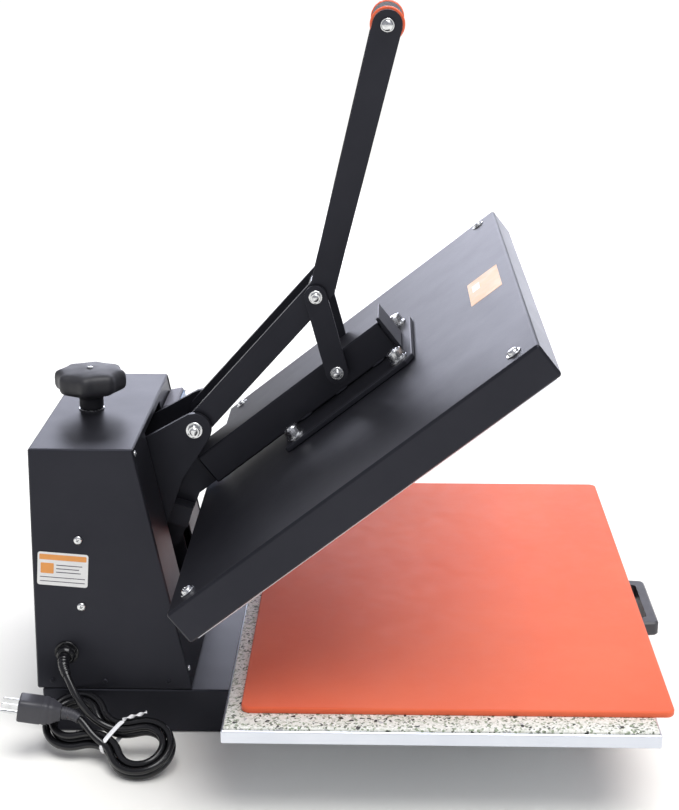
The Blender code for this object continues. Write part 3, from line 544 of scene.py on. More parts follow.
def front_place():
    down = Vector((COLUMN_SLOPE[0], 0, COLUMN_SLOPE[1])).normalized()
    across = Vector((0, 1, 0))
    place = Matrix((down, across, down.cross(across))).transposed().to_4x4()
    return Matrix.Translation((COLUMN_FRONT[0], 0, COLUMN_FRONT[1])) @ place


PLATEN, FRONT = tilted_place(), front_place()


def add_rings(bm, rings, closed=False):
    """Joins rings of points into a skin; open ends are capped."""
    made = [[bm.verts.new(p) for p in ring] for ring in rings]
    count = len(made[0])
    pairs = list(zip(made, made[1:] + made[:1])) if closed else list(zip(made, made[1:]))
    for one, two in pairs:
        for i in range(count):
            j = (i + 1) % count
            bm.faces.new((one[i], one[j], two[j], two[i]))
    if not closed:
        bm.faces.new(made[0][::-1])
        bm.faces.new(made[-1])


def turn(bm, profile, place, steps=32, shape=None):
    """Turns (radius, level) points round the frame's Z axis."""
    rings = []
    for radius, level in profile:
        ring = []
        for i in range(steps):
            a = 2 * math.pi * i / steps
            r = shape(radius, level, a) if shape else radius
            ring.append(place @ Vector((r * math.cos(a), r * math.sin(a), level)))
        rings.append(ring)
    add_rings(bm, rings)


def slab(bm, outline, low, high, place):
    add_rings(bm, [[place @ Vector((u, v, level)) for u, v in outline] for level in (low, high)])


def round_corners(half_x, half_y, radius, steps=5, centre=(0, 0)):
    points = []
    for quarter, (sx, sy) in enumerate(((1, 1), (-1, 1), (-1, -1), (1, -1))):
        for k in range(steps + 1):
            a = math.pi / 2 * (quarter + k / steps)
            points.append((centre[0] + sx * (half_x - radius) + radius * math.cos(a),
                           centre[1] + sy * (half_y - radius) + radius * math.sin(a)))
    return points


def sweep(bm, points, radius, sides=12, flat=None, spin=0.0):
    """A tube along points; radius is a number or a rule of the share of the way."""
    points = [Vector(p) for p in points]
    normal, rings, last = None, [], len(points) - 1
    for i, point in enumerate(points):
        way = (points[min(i + 1, last)] - points[max(i - 1, 0)]).normalized()
        if normal is None:
            normal = way.orthogonal().normalized()
        normal = (normal - way * normal.dot(way)).normalized()
        other = way.cross(normal)
        share = i / last
        r = radius(share) if callable(radius) else radius
        wide, thin = (r, r) if flat is None else flat
        ring = []
        for k in range(sides):
            a = 2 * math.pi * k / sides
            u, v = wide * math.cos(a), thin * math.sin(a)
            t = spin * share
            ring.append(point + normal * (u * math.cos(t) - v * math.sin(t))
                        + other * (u * math.sin(t) + v * math.cos(t)))
        rings.append(ring)
    add_rings(bm, rings)


def smooth_route(points, step=2.5):
    """Points a step apart on a smooth curve through the given ones."""
    ends = [Vector(p) for p in points]
    ends = [ends[0] * 2 - ends[1]] + ends + [ends[-1] * 2 - ends[-2]]
    made = []
    for a, b, c, d in zip(ends, ends[1:], ends[2:], ends[3:]):
        count = max(2, round((c - b).length / step))
        for k in range(count):
            t = k / count
            made.append(0.5 * ((2 * b) + (c - a) * t + (2 * a - 5 * b + 4 * c - d) * t * t
                               + (3 * b - a - 3 * c + d) * t ** 3))
    return made + [ends[-2]]


def resampled(points, step):
    """Evenly spaced points along a polyline."""
    lengths = [0.0]
    for one, two in zip(points, points[1:]):
        lengths.append(lengths[-1] + (two - one).length)
    count = round(lengths[-1] / step)
    made, i = [], 0
    for k in range(count + 1):
        at = lengths[-1] * k / count
        while i < len(points) - 2 and lengths[i + 1] < at:
            i += 1
        share = (at - lengths[i]) / max(lengths[i + 1] - lengths[i], 1e-9)
        made.append(points[i].lerp(points[i + 1], min(1.0, share)))
    return made


def relaxed(points, rounds):
    """Smooths a route and holds two points at each end."""
    for _ in range(rounds):
        inner = [(a + b * 2 + c) / 4 for a, b, c in zip(points, points[1:], points[2:])]
        middle = [points[0]] + inner + [points[-1]]
        points = points[:2] + middle[2:-2] + points[-2:]
    return points


# ---- power cord

def hank_place():
    along = Vector(HANK_ALONG).normalized()
    level = Vector((-along.y, along.x, 0)).normalized()
    lift = along.cross(level)
    across = level * math.cos(HANK_LEAN) + lift * math.sin(HANK_LEAN)
    place = Matrix((along, across, along.cross(across))).transposed().to_4x4()
    return Matrix.Translation(HANK_MIDDLE) @ place


def plug_place():
    spot = Matrix.Translation(PLUG_CENTRE) @ Matrix.Rotation(PLUG_TURN, 4, "Z")
    return spot @ Matrix.Rotation(PLUG_PITCH, 4, "Y")


RISE = WAIST_RADIUS + WAIST_HALF
FOLD_X = math.sqrt((FOLD_RADIUS + WAIST_RADIUS) ** 2 - RISE ** 2)
NECK = math.atan2(FOLD_X, RISE)
HALF_WAIST, FOLD = WAIST_RADIUS * NECK, FOLD_RADIUS * (math.pi + 2 * NECK)
LOOP = 2 * (2 * HALF_WAIST + FOLD)


def inner_turn(s):
    """Point and outward direction at a length s round the innermost turn."""
    s %= LOOP
    flip = 1 if s < LOOP / 2 else -1
    s %= LOOP / 2
    if s < HALF_WAIST:
        a = s / WAIST_RADIUS
        point = Vector((WAIST_RADIUS * math.sin(a), RISE - WAIST_RADIUS * math.cos(a), 0))
        out = Vector((-math.sin(a), math.cos(a), 0))
    elif s < HALF_WAIST + FOLD:
        a = math.pi / 2 + NECK - (s - HALF_WAIST) / FOLD_RADIUS
        out = Vector((math.cos(a), math.sin(a), 0))
        point = Vector((FOLD_X, 0, 0)) + out * FOLD_RADIUS
    else:
        a = NECK - (s - HALF_WAIST - FOLD) / WAIST_RADIUS
        point = Vector((WAIST_RADIUS * math.sin(a), WAIST_RADIUS * math.cos(a) - RISE, 0))
        out = Vector((-math.sin(a), -math.cos(a), 0))
    return point * flip, out * flip


def eased(t):
    t = min(1.0, max(0.0, t))
    return t * t * (3 - 2 * t)


def hank_turns():
    """Four turns in two lanes and two layers; each change of place has its own stretch."""
    third = 3 * LOOP
    changes = [(LOOP - 27, LOOP + 6, 0, -2), (2 * LOOP - 39, 2 * LOOP - 6, 1, 0),
               (third - HALF_WAIST - FOLD, third - HALF_WAIST - 8, 0, 2)]
    start, end = 16.0, third + 2 * HALF_WAIST + FOLD - 14
    count, made = round((end - start) / 2.5), []
    for k in range(count + 1):
        s = start + (end - start) * k / count
        lane, layer = 0.0, 1.0
        for first, last, across, up in changes:
            share = eased((s - first) / (last - first))
            lane, layer = lane + across * share, layer + up * share
        point, out = inner_turn(s)
        made.append(point + out * lane * LANE + Vector((0, 0, layer * LAYER)))
    return made


def cord_route():
    place, spot = hank_place(), plug_place()
    turns = [place @ p for p in hank_turns()]
    fall = [place @ Vector(p) for p in CORD_FALL]
    way_in = smooth_route(RELIEF_ROUTE + [CORD_START] + fall + [turns[0], turns[4]])
    near = min(range(len(way_in)), key=lambda i: (way_in[i] - turns[0]).length)
    rear = [spot @ Vector((PLUG_HALF[0] + out, 0, 0)) for out in (0.4, -4.0)]
    lead = [place @ Vector(p) for p in PLUG_LEAD]
    way_out = smooth_route([turns[-5], turns[-1]] + lead + rear)
    far = min(range(len(way_out)), key=lambda i: (way_out[i] - turns[-1]).length)
    stop = min(range(len(way_out)), key=lambda i: (way_out[i] - rear[0]).length)
    route = way_in[:near] + turns + way_out[far + 1:stop + 1]
    return resampled(relaxed(resampled(route, 2.0), 8), 2.5)


def make_cord():
    route = cord_route()
    curve = bpy.data.curves.new("mains_lead", "CURVE")
    curve.dimensions, curve.bevel_depth, curve.bevel_resolution = "3D", CORD_RADIUS * MM, 4
    curve.use_fill_caps = True
    line = curve.splines.new("POLY")
    line.points.add(len(route) - 1)
    for target, point in zip(line.points, route):
        target.co = (*(point * MM), 1.0)
    line.use_smooth = True
    curve.materials.append(LOOKS["cord_rubber"])
    lead = linked("mains_lead", curve)
    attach(lead, "base")
    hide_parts("power_cord", "plug_lead", "cord_hank")
    on_it = [make_relief(), make_tie(), *make_plug(route)]


def make_relief():
    """The tapered sleeve at the gland, with flexing ribs."""
    bm = bmesh.new()
    route = smooth_route(RELIEF_ROUTE, 0.55)

    def radius(share):
        rib = 0.35 if share < 0.85 and int(share * 14) % 2 else 0.0
        return 6.25 - 1.75 * share + rib
    sweep(bm, route, radius, 20)
    return piece("lead_relief", bm, "cord_rubber", "base", replaces=("strain_relief",), smooth=50)


def make_tie():
    """A flat white wire tie round the waist, its two ends twisted together."""
    place = hank_place()
    wide, high = 19.0, LAYER + CORD_RADIUS + 1.0
    bm = bmesh.new()
    rings = []
    for _, y, z in blunt_ring(0.0, wide, high, 3.2, 40):
        out = Vector((0, y / wide, z / high)).normalized()
        slant = TIE_X + 0.10 * y
        ring = []
        for along, off in ((-2.3, -0.35), (-1.0, -0.45), (1.0, -0.45), (2.3, -0.35), (2.3, 0.35),
                           (1.0, 0.75), (0, 0.85), (-1.0, 0.75), (-2.3, 0.35)):
            ring.append(place @ (Vector((slant + along, y, z)) + out * off))
        rings.append(ring)
    add_rings(bm, rings, closed=True)
    tail = [place @ Vector(p) for p in ((TIE_X + 1.6, 16.0, 8.6), (TIE_X + 5.0, 19.0, 10.5),
                                         (TIE_X + 10.0, 22.5, 11.5), (TIE_X + 16.0, 27.5, 11.8),
                                         (TIE_X + 21.0, 32.0, 12.8))]
    sweep(bm, smooth_route(tail, 0.8), None, 10, flat=(1.9, 0.6), spin=9.0)
    return piece("wire_tie", bm, "tie_white", "base", replaces=("cord_tie",), smooth=60)


def blunt_ring(x, wide, tall, power, steps):
    """Points round a rectangle whose corners are rounded off by the power."""
    ring = []
    for k in range(steps):
        a = 2 * math.pi * k / steps
        c, s = math.cos(a), math.sin(a)
        ring.append(Vector((x, math.copysign(abs(c) ** (2 / power), c) * wide,
                            math.copysign(abs(s) ** (2 / power), s) * tall)))
    return ring


def make_plug(route):
    return [make_plug_shell(), make_plug_blades(), make_plug_boot(route)]


def make_plug_shell():
    spot = plug_place()
    long, wide, tall = PLUG_HALF
    body = [(-long, 0.92, 0.92), (-long + 0.8, 0.98, 0.98), (-long + 2.5, 1, 1), (1.5, 1, 1),
            (2.4, 0.95, 0.96), (3.6, 0.95, 0.96), (4.5, 0.99, 0.99), (8, 0.96, 0.96),
            (9, 0.88, 0.89), (10, 0.88, 0.89), (11, 0.90, 0.91), (14.5, 0.76, 0.79),
            (18, 0.62, 0.67), (long, 0.55, 0.60)]
    bm = bmesh.new()
    add_rings(bm, [[spot @ p for p in blunt_ring(x, wide * w, tall * t, 5.0, 48)]
                   for x, w, t in body])
    return piece("plug_shell", bm, "plug_plastic", "base", replaces=("plug",), smooth=48)


def make_plug_blades():
    spot, long = plug_place(), PLUG_HALF[0]
    bm = bmesh.new()
    for across in (-6.0, 6.0):
        outline = [(-long - 17, 0.4), (-long - 15.5, -0.9), (-long + 2, -0.9), (-long + 2, 5.4),
                   (-long - 15.5, 5.4), (-long - 17, 4.1)]
        side = spot @ Matrix.Translation((0, across, 0)) @ Matrix.Rotation(math.pi / 2, 4, "X")
        slab(bm, outline, -0.75, 0.75, side)
    pin = spot @ Matrix.Translation((-long + 2, 0, -6)) @ Matrix.Rotation(-math.pi / 2, 4, "Y")
    turn(bm, [(2.35, 0), (2.35, 19.2), (2.0, 20.6), (1.1, 21.6)], pin, 20)
    return piece("plug_blades", bm, "zinc", "base", edge=0.25, segments=2)


def make_plug_boot(route):
    """The ribbed sleeve over the cord's last stretch before the plug."""
    bm = bmesh.new()
    sweep(bm, smooth_route(route[-9:][::-1], 0.5),
          lambda t: 6.2 - 1.5 * t + (0.4 if int(t * 15) % 2 else 0.0), 20)
    return piece("plug_boot", bm, "plug_plastic", "base", smooth=50)


def make_gland():
    """A moulded gland: flange, hexagon and domed nut."""
    place = axis_place((-262.5, -133.0, 89.5), (0, -1, 0))
    bm = bmesh.new()
    turn(bm, [(8.4, -9), (8.4, 0.3), (12.4, 0.3), (12.4, 1.6), (11.8, 2.2), (8.4, 2.3)], place, 40)
    slab(bm, [(10.4 * math.cos(a), 10.4 * math.sin(a))
              for a in (math.pi / 3 * k for k in range(6))], 2.3, 6.0, place)
    turn(bm, [(9.2, 6.0), (9.6, 6.6), (9.4, 8.6), (8.6, 10.4), (7.2, 11.8), (6.4, 12.1)], place, 40,
         lambda r, level, a: r + (0.25 * math.cos(12 * a) if level < 9 else 0))
    piece("gland_body", bm, "cord_rubber", "base", replaces=("cable_gland",), smooth=40, edge=0.3)
    bm = bmesh.new()
    turn(bm, [(7.1, 11.9), (7.6, 12.0), (7.6, 12.6), (7.0, 12.9)], place, 40)
    piece("gland_ring", bm, "cord_rubber", "base", edge=0.15, segments=2)


# ---- screws, nuts and bolts

def add_washer(bm, place, outer, inner, low, high):
    profile = [(inner, low), (outer - 0.3, low), (outer, low + 0.3), (outer, high - 0.3),
               (outer - 0.3, high), (inner, high)]
    rings = []
    for radius, level in profile:
        rings.append([place @ Vector((radius * math.cos(a), radius * math.sin(a), level))
                      for a in (2 * math.pi * i / 36 for i in range(36))])
    add_rings(bm, rings, closed=True)


def add_nut(bm, place, across, low, high, turned=0.0):
    """A hexagon with a chamfered crown."""
    reach = across / math.sqrt(3)
    chamfer = (reach - across / 2) * 0.85
    rings = []
    for level, cap in ((low, 1.0), (high - chamfer, 1.0), (high, 0.0)):
        ring = []
        for i in range(36):
            a = 2 * math.pi * i / 36 + turned
            side = (a - turned) % (math.pi / 3) - math.pi / 6
            r = across / 2 / math.cos(side)
            limit = across / 2 * 0.97 if cap == 0.0 else r
            ring.append(place @ Vector((min(r, limit) * math.cos(a), min(r, limit) * math.sin(a),
                                        level)))
        rings.append(ring)
    add_rings(bm, rings)


def add_stud(bm, place, radius, low, high, pitch=1.25):
    """A threaded end with a chamfer."""
    profile, level = [(radius * 0.86, low)], low
    while level < high - pitch:
        profile += [(radius, level + pitch * 0.45), (radius * 0.88, level + pitch * 0.95)]
        level += pitch
    profile += [(radius * 0.9, high - 0.4), (radius * 0.62, high)]
    turn(bm, profile, place, 24)


def add_pan_head(bm, place, radius, height):
    """A domed screw head with a crossed recess."""
    rings, steps = [], 32
    levels = [(1.0, 0.0), (1.0, 0.22), (0.96, 0.5), (0.86, 0.75), (0.68, 0.92), (0.5, 0.98)]
    for share, up in levels:
        rings.append([place @ Vector((radius * share * math.cos(a), radius * share * math.sin(a),
                                      height * up)) for a in
                      (2 * math.pi * i / steps for i in range(steps))])
    for share, drop in ((0.46, 0.0), (0.20, 0.55)):
        ring = []
        for i in range(steps):
            a = 2 * math.pi * i / steps
            arm = max(abs(math.cos(2 * a)), 0.0) ** 3
            r = radius * (0.14 + (share - 0.14) * arm) if share > 0.3 else radius * share * 0.5
            ring.append(place @ Vector((r * math.cos(a), r * math.sin(a), height * (0.98 - drop))))
        rings.append(ring)
    add_rings(bm, rings)


def screws(name, body, spots, radius, height, washer=0.0, look="zinc"):
    """Pan-head screws at the given frames, all in one piece."""
    bm = bmesh.new()
    for place in spots:
        spun = place @ Matrix.Rotation(RNG.uniform(0, math.pi / 2), 4, "Z")
        lift = 0.0
        if washer:
            add_washer(bm, spun, washer, radius * 0.4, 0.05, 1.0)
            lift = 1.0
        add_pan_head(bm, spun @ Matrix.Translation((0, 0, lift)), radius, height)
    return piece(name, bm, look, body, smooth=42)


def make_fasteners():
    sides = [(-244.9, 212.2), (-245.1, 140.1)]
    spots = [axis_place((x, y * SCREW_SIDE, z), (0, y, 0)) for y in (-1, 1) for x, z in sides]
    screws("side_screws", "base", spots, 4.6, 2.8)
    foot = [(x, y) for x in (-279.0, -225.0, -160.0) for y in (-1, 1)]
    spots = [axis_place((x, y * SCREW_SIDE, 57.5), (0, y, 0)) for x, y in foot]
    screws("foot_screws", "base", spots, 2.6, 1.5, look="black_paint")
    cover = [(s, y) for s in (22.5, 385.5) for y in (-284.0, 284.0)]
    spots = [PLATEN @ Matrix.Translation((s, y, 0.05)) for s, y in cover]
    screws("cover_screws", "platen", spots, 5.2, 3.4, washer=7.4)
    rear = [(y, z) for y in (-122.0, 122.0) for z in (70.0, 178.0, 288.0)]
    lean = 5.0 / 259.2
    spots = [axis_place((-294.6 + lean * (z - 48.3), y, z), (-1, 0, -lean)) for y, z in rear]
    screws("rear_screws", "base", spots, 3.2, 1.9, look="zinc")
    front = [(d, y) for d in (8.0, 245.0) for y in (-122.0, 118.0) if not (d < 100 and y > 0)]
    spots = [FRONT @ Matrix.Translation((d, y, -0.95)) for d, y in front]
    screws("front_screws", "base", spots, 3.0, 1.6, look="zinc")
    make_pivot_bolts()
    make_plate_bolts()


def pivot_bolt(name, body, centre, reach, washer, nut, stud, replaces=()):
    """A bolt head on the near side and a nut on the far side, each on a washer."""
    bm = bmesh.new()
    for side in (-1, 1):
        place = axis_place((centre[0], side * reach, centre[1]), (0, side, 0), (0.4, 0, 1))
        crown = 1.8 + nut * 0.42
        add_washer(bm, place, washer, nut * 0.3, 0.05, 1.6)
        add_nut(bm, place, nut, 1.8, crown, 0.3)
        add_stud(bm, place, stud, 1.0, crown + 1.8)
    if replaces:
        low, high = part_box(replaces[0])
        shaft = (high.y - low.y) / MM / 2 - 5.0
        place = axis_place((centre[0], -shaft, centre[1]), (0, 1, 0))
        turn(bm, [(stud, 0), (stud, 2 * shaft)], place, 28)
    return piece(name, bm, "zinc", body, replaces=replaces, smooth=28)


def make_pivot_bolts():
    pivot_bolt("lever_bolt", "pressure_fork", LEVER_PIVOT, 46.2, 8.6, 11.5, 4.2, ("lever_pin",))
    pivot_bolt("toggle_bolt", "links", TOGGLE_PIVOT, 44.0, 6.9, 9.6, 3.4)
    pivot_bolt("link_bolt", "links", LINK_PIVOT, 44.0, 6.7, 9.4, 3.3, ("link_pin",))


def make_plate_bolts():
    for number, (s, y) in enumerate(((s, y) for s in (138.0, 269.0) for y in (-68.0, 68.0)), 1):
        place = PLATEN @ Matrix.Translation((s, y, 6.0))
        bm = bmesh.new()
        add_washer(bm, place, 9.6, 4.5, 0.1, 2.1)
        add_washer(bm, place, 6.6, 4.0, 2.15, 4.0)
        add_nut(bm, place, 15.0, 4.0, 11.6, 0.35 * number)
        turn(bm, [(5.4, 11.5), (5.2, 12.2), (3.6, 12.7), (1.0, 12.9)], place, 28)
        piece("plate_bolt_%d" % number, bm, "zinc", "platen",
              replaces=("mounting_bolt_%d" % number,), smooth=28)


# ---- column

def make_column():
    for node, edge in (("base_frame", 0.7), ("column_housing", 0.7), ("front_panel", 0.4),
                       ("rear_cover", 0.35), ("side_plate_near", 0.6), ("side_plate_far", 0.6),
                       ("frame_top_plate", 0.6), ("pressure_bracket", 0.8)):
        refined(node, edge)
    make_side_label()
    make_knob()
    make_springs()
    make_hook_bolts()


def make_side_label():
    """A plain white label with an orange head band and a framed blank field."""
    corners = [Vector((-284.6, 0, 200.0)), Vector((-234.7, 0, 196.2)), Vector((-238.5, 0, 160.4)),
               Vector((-289.7, 0, 164.3))]
    middle = sum(corners, Vector()) / 4
    along = (corners[1] - corners[0]).normalized()
    up = Vector((0, -1, 0)).cross(along)
    place = Matrix((along, up, along.cross(up))).transposed().to_4x4()
    middle.y = -HOUSING_SIDE
    place = Matrix.Translation(middle) @ place
    bm = bmesh.new()
    slab(bm, round_corners(25.4, 17.8, 2.6), 0.02, 0.22, place)
    piece("side_label", bm, "label_white", "base", smooth=30)
    bm = bmesh.new()
    slab(bm, round_corners(23.6, 2.9, 0.8, 3, (0, 12.6)), 0.24, 0.30, place)
    slab(bm, round_corners(6.6, 5.6, 0.8, 3, (-15.6, 0.6)), 0.24, 0.30, place)
    piece("side_label_bands", bm, "label_orange", "base", smooth=30)
    bm = bmesh.new()
    for row, wide in ((4.4, 13.0), (0.6, 11.5), (-3.2, 12.4)):
        slab(bm, round_corners(wide, 0.45, 0.2, 2, (-6.5 + wide, row)), 0.24, 0.28, place)
    slab(bm, round_corners(22.5, 0.4, 0.2, 2, (0, -9.0)), 0.24, 0.28, place)
    slab(bm, round_corners(22.5, 0.4, 0.2, 2, (0, -13.5)), 0.24, 0.28, place)
    piece("side_label_rules", bm, "grey_paint", "base", smooth=30)


def make_knob():
    """An eight-lobed hand knob with a rolled rim, a low domed top and a hub."""
    profile = [(11.5, 309.0), (12.4, 309.6), (12.6, 311), (12.6, 319), (13.4, 321.5), (17, 323.5),
               (24, 325.8), (30, 328.2), (33.6, 330.6), (35.0, 333.2), (35.5, 336.5), (35.5, 342.5),
               (35.0, 345.6), (33.5, 348.0), (31.0, 349.6), (27.5, 350.5), (20, 351.3), (10, 351.9),
               (3, 352.1)]

    def lobes(radius, level, a):
        share = eased((radius - 24) / 10)
        ridge = 1.8 * math.cos(8 * a) + 0.35 * math.cos(16 * a)
        return radius + ridge * share
    bm = bmesh.new()
    turn(bm, profile, Matrix.Translation((KNOB_X, 0, 0)), 128, lobes)
    piece("knob_skin", bm, "knob_plastic", "knob", replaces=("pressure_knob",), smooth=60)
    bm = bmesh.new()
    place = Matrix.Translation((KNOB_X, 0, 0))
    turn(bm, [(3.2, 352.0), (3.2, 352.9), (2.6, 353.3)], place, 20)
    piece("knob_pin", bm, "zinc", "knob", smooth=40)
    bm = bmesh.new()
    add_washer(bm, place, 14.0, 9.2, 305.6, 307.4)
    add_washer(bm, place, 13.4, 7.0, 307.6, 308.9)
    piece("knob_washer", bm, "zinc", "knob", smooth=30)


def spring_points(start, end, middle):
    """A hook round the column's rod, close coils, and a hook on the neck's crossbar."""
    way = (end - start).normalized()
    up = Vector((0, 1, 0)).cross(way)
    radius, turns, steps = 5.2, 44, 12
    low, high = 13.0, (end - start).length - 11.0
    points = []
    for k in range(15):
        a = math.radians(-60 + 300 * k / 14)
        points.append(start + middle + way * (-6.2 * math.cos(a)) + up * (-6.2 * math.sin(a)))
    points.append(start + middle + way * 9.5 + up * 1.5)
    for k in range(turns * steps + 1):
        a = 2 * math.pi * k / steps
        at = low + (high - low) * k / (turns * steps)
        points.append(start + middle + way * at
                      + up * (radius * math.cos(a)) + Vector((0, radius * math.sin(a), 0)))
    points.append(end + middle - way * 8.0 + up * 2.0)
    for k in range(9):
        a = math.radians(200 - 250 * k / 8)
        points.append(end + middle + way * (3.4 * math.cos(a)) + up * (3.4 * math.sin(a)))
    return points


def make_springs():
    """Two close-wound lift springs, from the column to the platen's neck."""
    start = Vector((SPRING_ROD[0], 0, SPRING_ROD[1]))
    end = Vector((SPRING_HOOK[0], 0, SPRING_HOOK[1]))
    for side, name in ((-1, "near"), (1, "far")):
        bm = bmesh.new()
        sweep(bm, spring_points(start, end, Vector((0, side * SPRING_Y, 0))), SPRING_WIRE, 8)
        made = piece("spring_" + name, bm, "zinc", None, replaces=("lift_spring_" + name,),
                     smooth=60)
        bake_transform(made)


def make_hook_bolts():
    """Bright studs, each with a hexagon nut, that hold the springs to the neck's crossbar."""
    bm = bmesh.new()
    for side in (-1, 1):
        place = axis_place((-163.5, side * 33.5, 206.0), (-0.55, 0, 0.83))
        add_nut(bm, place, 7.0, 5.0, 8.0)
        add_stud(bm, place, 2.0, 1.0, 12.0)
    piece("spring_studs", bm, "zinc", "platen", smooth=28)


# ---- control panel

SEGMENTS = {"0": "abcdef", "1": "bc", "8": "abcdefg", "5": "acdfg", "3": "abcdg"}


def add_digit(bm, digit, across, down, place, tall=12.0, wide=6.4, bar=1.3):
    """A seven-segment numeral on the display."""
    half = tall / 2
    spots = {"a": (-half, 0, 0), "g": (0, 0, 0), "d": (half, 0, 0), "f": (-half / 2, -1, 1),
             "b": (-half / 2, 1, 1), "e": (half / 2, -1, 1), "c": (half / 2, 1, 1)}
    for key in SEGMENTS[digit]:
        d, side, upright = spots[key]
        long = half / 2 - bar * 0.6 if upright else wide / 2 - bar * 0.6
        x, y = down + d, across + side * wide / 2
        size = (long, bar / 2) if upright else (bar / 2, long)
        slab(bm, round_corners(size[0], size[1], bar * 0.3, 2, (x, y)), 16.52, 16.62, place)


def make_controls():
    refined("control_box", 0.6)
    refined("control_membrane", 0.2, segments=2)
    refined("display_window", 0.3, segments=2)
    make_display()
    make_membrane_rings()
    make_buttons()
    corners = [(d, a) for d in (20.5, 109.5) for a in (64.5, 123.5)]
    screws("panel_screws", "base", [FRONT @ Matrix.Translation((d, a, 16.1)) for d, a in corners],
           1.9, 1.0)


def make_display():
    """Three numerals and two dots."""
    bm = bmesh.new()
    for k, digit in enumerate("180"):
        add_digit(bm, digit, 80.5 + 8.8 * k, 38.0, FRONT)
    for down in (33.0, 42.0):
        slab(bm, round_corners(1.1, 1.1, 1.0, 4, (down, 108.5)), 16.52, 16.7, FRONT)
    piece("display_digits", bm, "red_plastic", "base", smooth=30)


def make_membrane_rings():
    """White frames printed round the display and the buttons."""
    bm = bmesh.new()
    frame_out = round_corners(12.6, 23.6, 2.0, 5, (38.0, 94.0))
    frame_in = round_corners(11.6, 22.6, 1.4, 5, (38.0, 94.0))
    rings = [[FRONT @ Vector((u, v, level)) for u, v in line] for line, level in
             ((frame_in, 16.15), (frame_out, 16.15), (frame_out, 16.5), (frame_in, 16.5))]
    add_rings(bm, rings, closed=True)
    for across in (76.0, 94.0, 112.0):
        add_washer(bm, FRONT @ Matrix.Translation((62.0, across, 0)), 7.4, 6.5, 15.9, 16.4)
    piece("membrane_rings", bm, "tie_white", "base", smooth=30)


def make_buttons():
    for node, across in (("button_down", 76.0), ("button_set", 94.0), ("button_up", 112.0)):
        bm = bmesh.new()
        place = FRONT @ Matrix.Translation((62.0, across, 0))
        turn(bm, [(5.0, 12.5), (5.0, 17.4), (4.7, 18.0), (4.1, 18.3), (3.4, 18.1), (1.2, 17.9)],
             place, 40)
        piece(node + "_cap", bm, "light_plastic", node, replaces=(node,), smooth=50)
    make_rocker()


def make_rocker():
    bm = bmesh.new()
    outline = [(85.0, 10.5), (99.0, 10.5), (99.0, 16.9), (95.5, 17.15), (92.0, 17.9), (88.5, 18.9),
               (85.0, 19.8)]
    rings = [[FRONT @ Vector((u, y, w)) for u, w in outline] for y in (84.0, 104.0)]
    add_rings(bm, rings)
    piece("rocker_cap", bm, "red_plastic", "rocker", replaces=("power_switch",), smooth=30,
          edge=0.6)
    bm = bmesh.new()
    slab(bm, round_corners(2.6, 0.5, 0.4, 3, (88.6, 94.0)), 18.75, 19.35, FRONT)
    piece("rocker_mark", bm, "tie_white", "rocker", smooth=30)


# ---- platen and linkage

def make_platen():
    for node, edge in (("platen_cover", 0.9), ("heater_plate", 0.6), ("mounting_plate", 0.5),
                       ("platen_arm", 0.9), ("arm_end_plate", 0.5), ("arm_neck", 0.9)):
        refined(node, edge)
    make_cover_sticker()
    make_welds()


def make_cover_sticker():
    """A plain peach sticker with a pale blank patch."""
    bm = bmesh.new()
    place = PLATEN @ Matrix.Translation((374.5, 1.6, 0))
    slab(bm, round_corners(19.0, 46.4, 2.0), 0.02, 0.20, place)
    piece("cover_sticker", bm, "label_peach", "platen", smooth=30)
    bm = bmesh.new()
    slab(bm, round_corners(4.6, 13.0, 1.0, 3, (-9.5, 14.0)), 0.22, 0.27, place)
    piece("cover_sticker_patch", bm, "label_white", "platen", smooth=30)


def make_welds():
    """Short weld beads along the foot of the arm and at its end plate."""
    bm = bmesh.new()
    for s in (150.0, 196.0, 244.0):
        for side in (-1, 1):
            middle = PLATEN @ Vector((s, side * 28.6, 7.6))
            points = [middle + (PLATEN.to_3x3() @ Vector((x, 0.15 * math.sin(x), 0)))
                      for x in [k * 0.8 - 7 for k in range(18)]]
            sweep(bm, points, lambda t: 1.7 * math.sin(math.pi * min(max(t, 0.08), 0.92)) ** 0.4
                  + 0.16 * math.sin(t * 60), 12)
    for side in (-1, 1):
        points = [PLATEN @ Vector((269.1, side * 27.9, 10 + k * 1.0)) for k in range(26)]
        sweep(bm, points, lambda t: 0.9 + 0.14 * math.sin(t * 80), 10)
    piece("arm_welds", bm, "black_paint", "platen", smooth=60)


def make_linkage():
    for node, edge in (("lever_bar_near", 0.9), ("lever_bar_far", 0.9), ("link_near", 0.9),
                       ("link_far", 0.9)):
        refined(node, edge)
    make_grip()


def make_grip():
    """Foam grip between the bars, with an orange collar and washers at each end."""
    x, z = GRIP_CENTRE
    place = axis_place((x, 0, z), (0, 1, 0))
    bm = bmesh.new()
    body = [(5.4, -47.2), (13.6, -47.2), (15.0, -46.2), (15.5, -44.4), (15.3, -30), (15.5, -10),
            (15.4, 12), (15.5, 30), (15.5, 44.4), (15.0, 46.2), (13.6, 47.2), (5.4, 47.2)]
    turn(bm, body, place, 56)
    piece("grip_foam", bm, "grip_rubber", "lever", replaces=("handle_grip",), smooth=60)
    bm = bmesh.new()
    for side in (-1, 1):
        collar = [(5.4, 47.4), (15.6, 47.4), (16.7, 48.2), (16.9, 53.6), (15.9, 54.8), (5.4, 54.9)]
        turn(bm, [(r, side * level) for r, level in collar], place, 56)
    piece("grip_collars", bm, "collar_orange", "lever", smooth=40)
    make_grip_bolt(x, z, place)


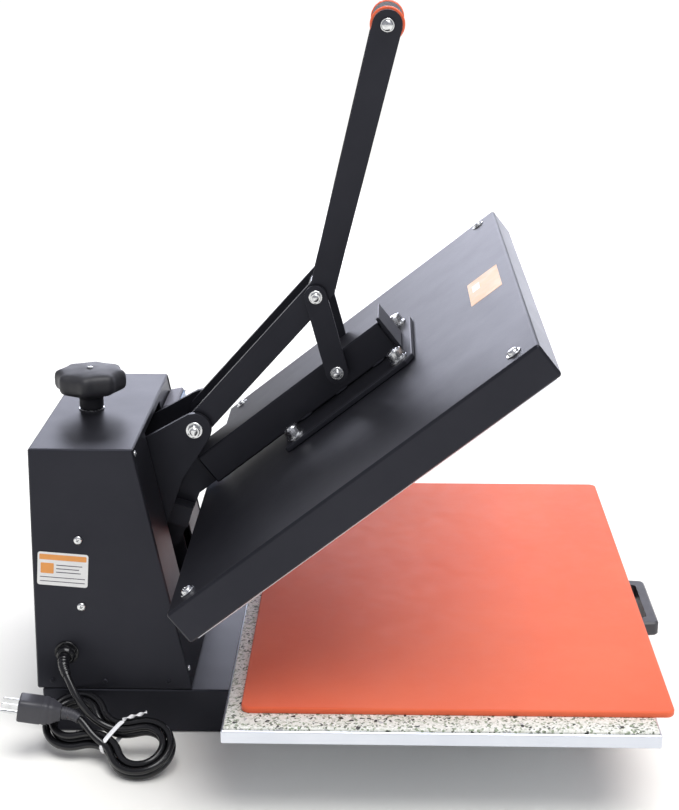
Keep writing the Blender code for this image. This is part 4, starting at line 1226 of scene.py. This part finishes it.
def make_grip_bolt(x, z, place):
    """The rod through the grip, with a domed head and a thin washer at each end."""
    bm = bmesh.new()
    turn(bm, [(4.6, -66.0), (4.6, 66.0)], place, 28)
    for side in (-1, 1):
        head = axis_place((x, side * 66.2, z), (0, side, 0), (0.3, 0, 1))
        add_washer(bm, head, 6.6, 2.4, 0.0, 0.8)
        turn(bm, [(5.5, 0.8), (5.5, 1.8), (5.1, 2.8), (4.2, 3.6), (2.8, 4.1), (1.0, 4.3)], head, 32)
    piece("grip_bolt", bm, "zinc", "lever", replaces=("grip_rod",), smooth=40)


# ---- lower bed

def make_bed():
    refined("bed_tray", 0.4)
    refined("bed_board", 0.5)
    refined("bed_handle", 0.8)
    make_pad()
    screw_spots = [(x, y) for x in (-70.0, 110.0, 292.0) for y in (-90.0, 90.0)]
    bm = bmesh.new()
    for x, y in screw_spots:
        place = axis_place((x, y, 80.7), (0, 0, -1))
        add_pan_head(bm, place, 3.6, 2.2)
    piece("rail_screws", bm, "zinc", "bed", smooth=42)


def make_pad():
    """The silicone pad: a soft rounded edge and a barely uneven face."""
    low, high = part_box("silicone_pad")
    low, high = low / MM, high / MM
    half_x, half_y = (high.x - low.x) / 2, (high.y - low.y) / 2
    centre = ((high.x + low.x) / 2, (high.y + low.y) / 2)
    top, foot = high.z, low.z
    levels = [(foot, 0.6), (foot + 0.7, 0.1), (top - 1.6, 0.0), (top - 0.6, 0.35),
              (top - 0.12, 1.0), (top, 2.2)]
    bm = bmesh.new()
    rings = []
    for level, inset in levels:
        line = round_corners(half_x - inset, half_y - inset, 9.0 - inset, 8, centre)
        rings.append([Vector((u, v, level)) for u, v in line])
    add_rings(bm, rings)
    piece("pad_skin", bm, "silicone", "bed", replaces=("silicone_pad",), smooth=50)


# ---- everything

def dress_cad():
    """The nodes that stay as the CAD made them get their finish."""
    for part in frame["record"]["subparts"]:
        node = NODES[part["node"]]
        node.data.materials.clear()
        node.data.materials.append(LOOKS[part["material_slot"]])


make_camera()
make_studio()
dress_cad()
make_cord()
make_gland()
make_column()
make_fasteners()
make_controls()
make_platen()
make_linkage()
make_bed()
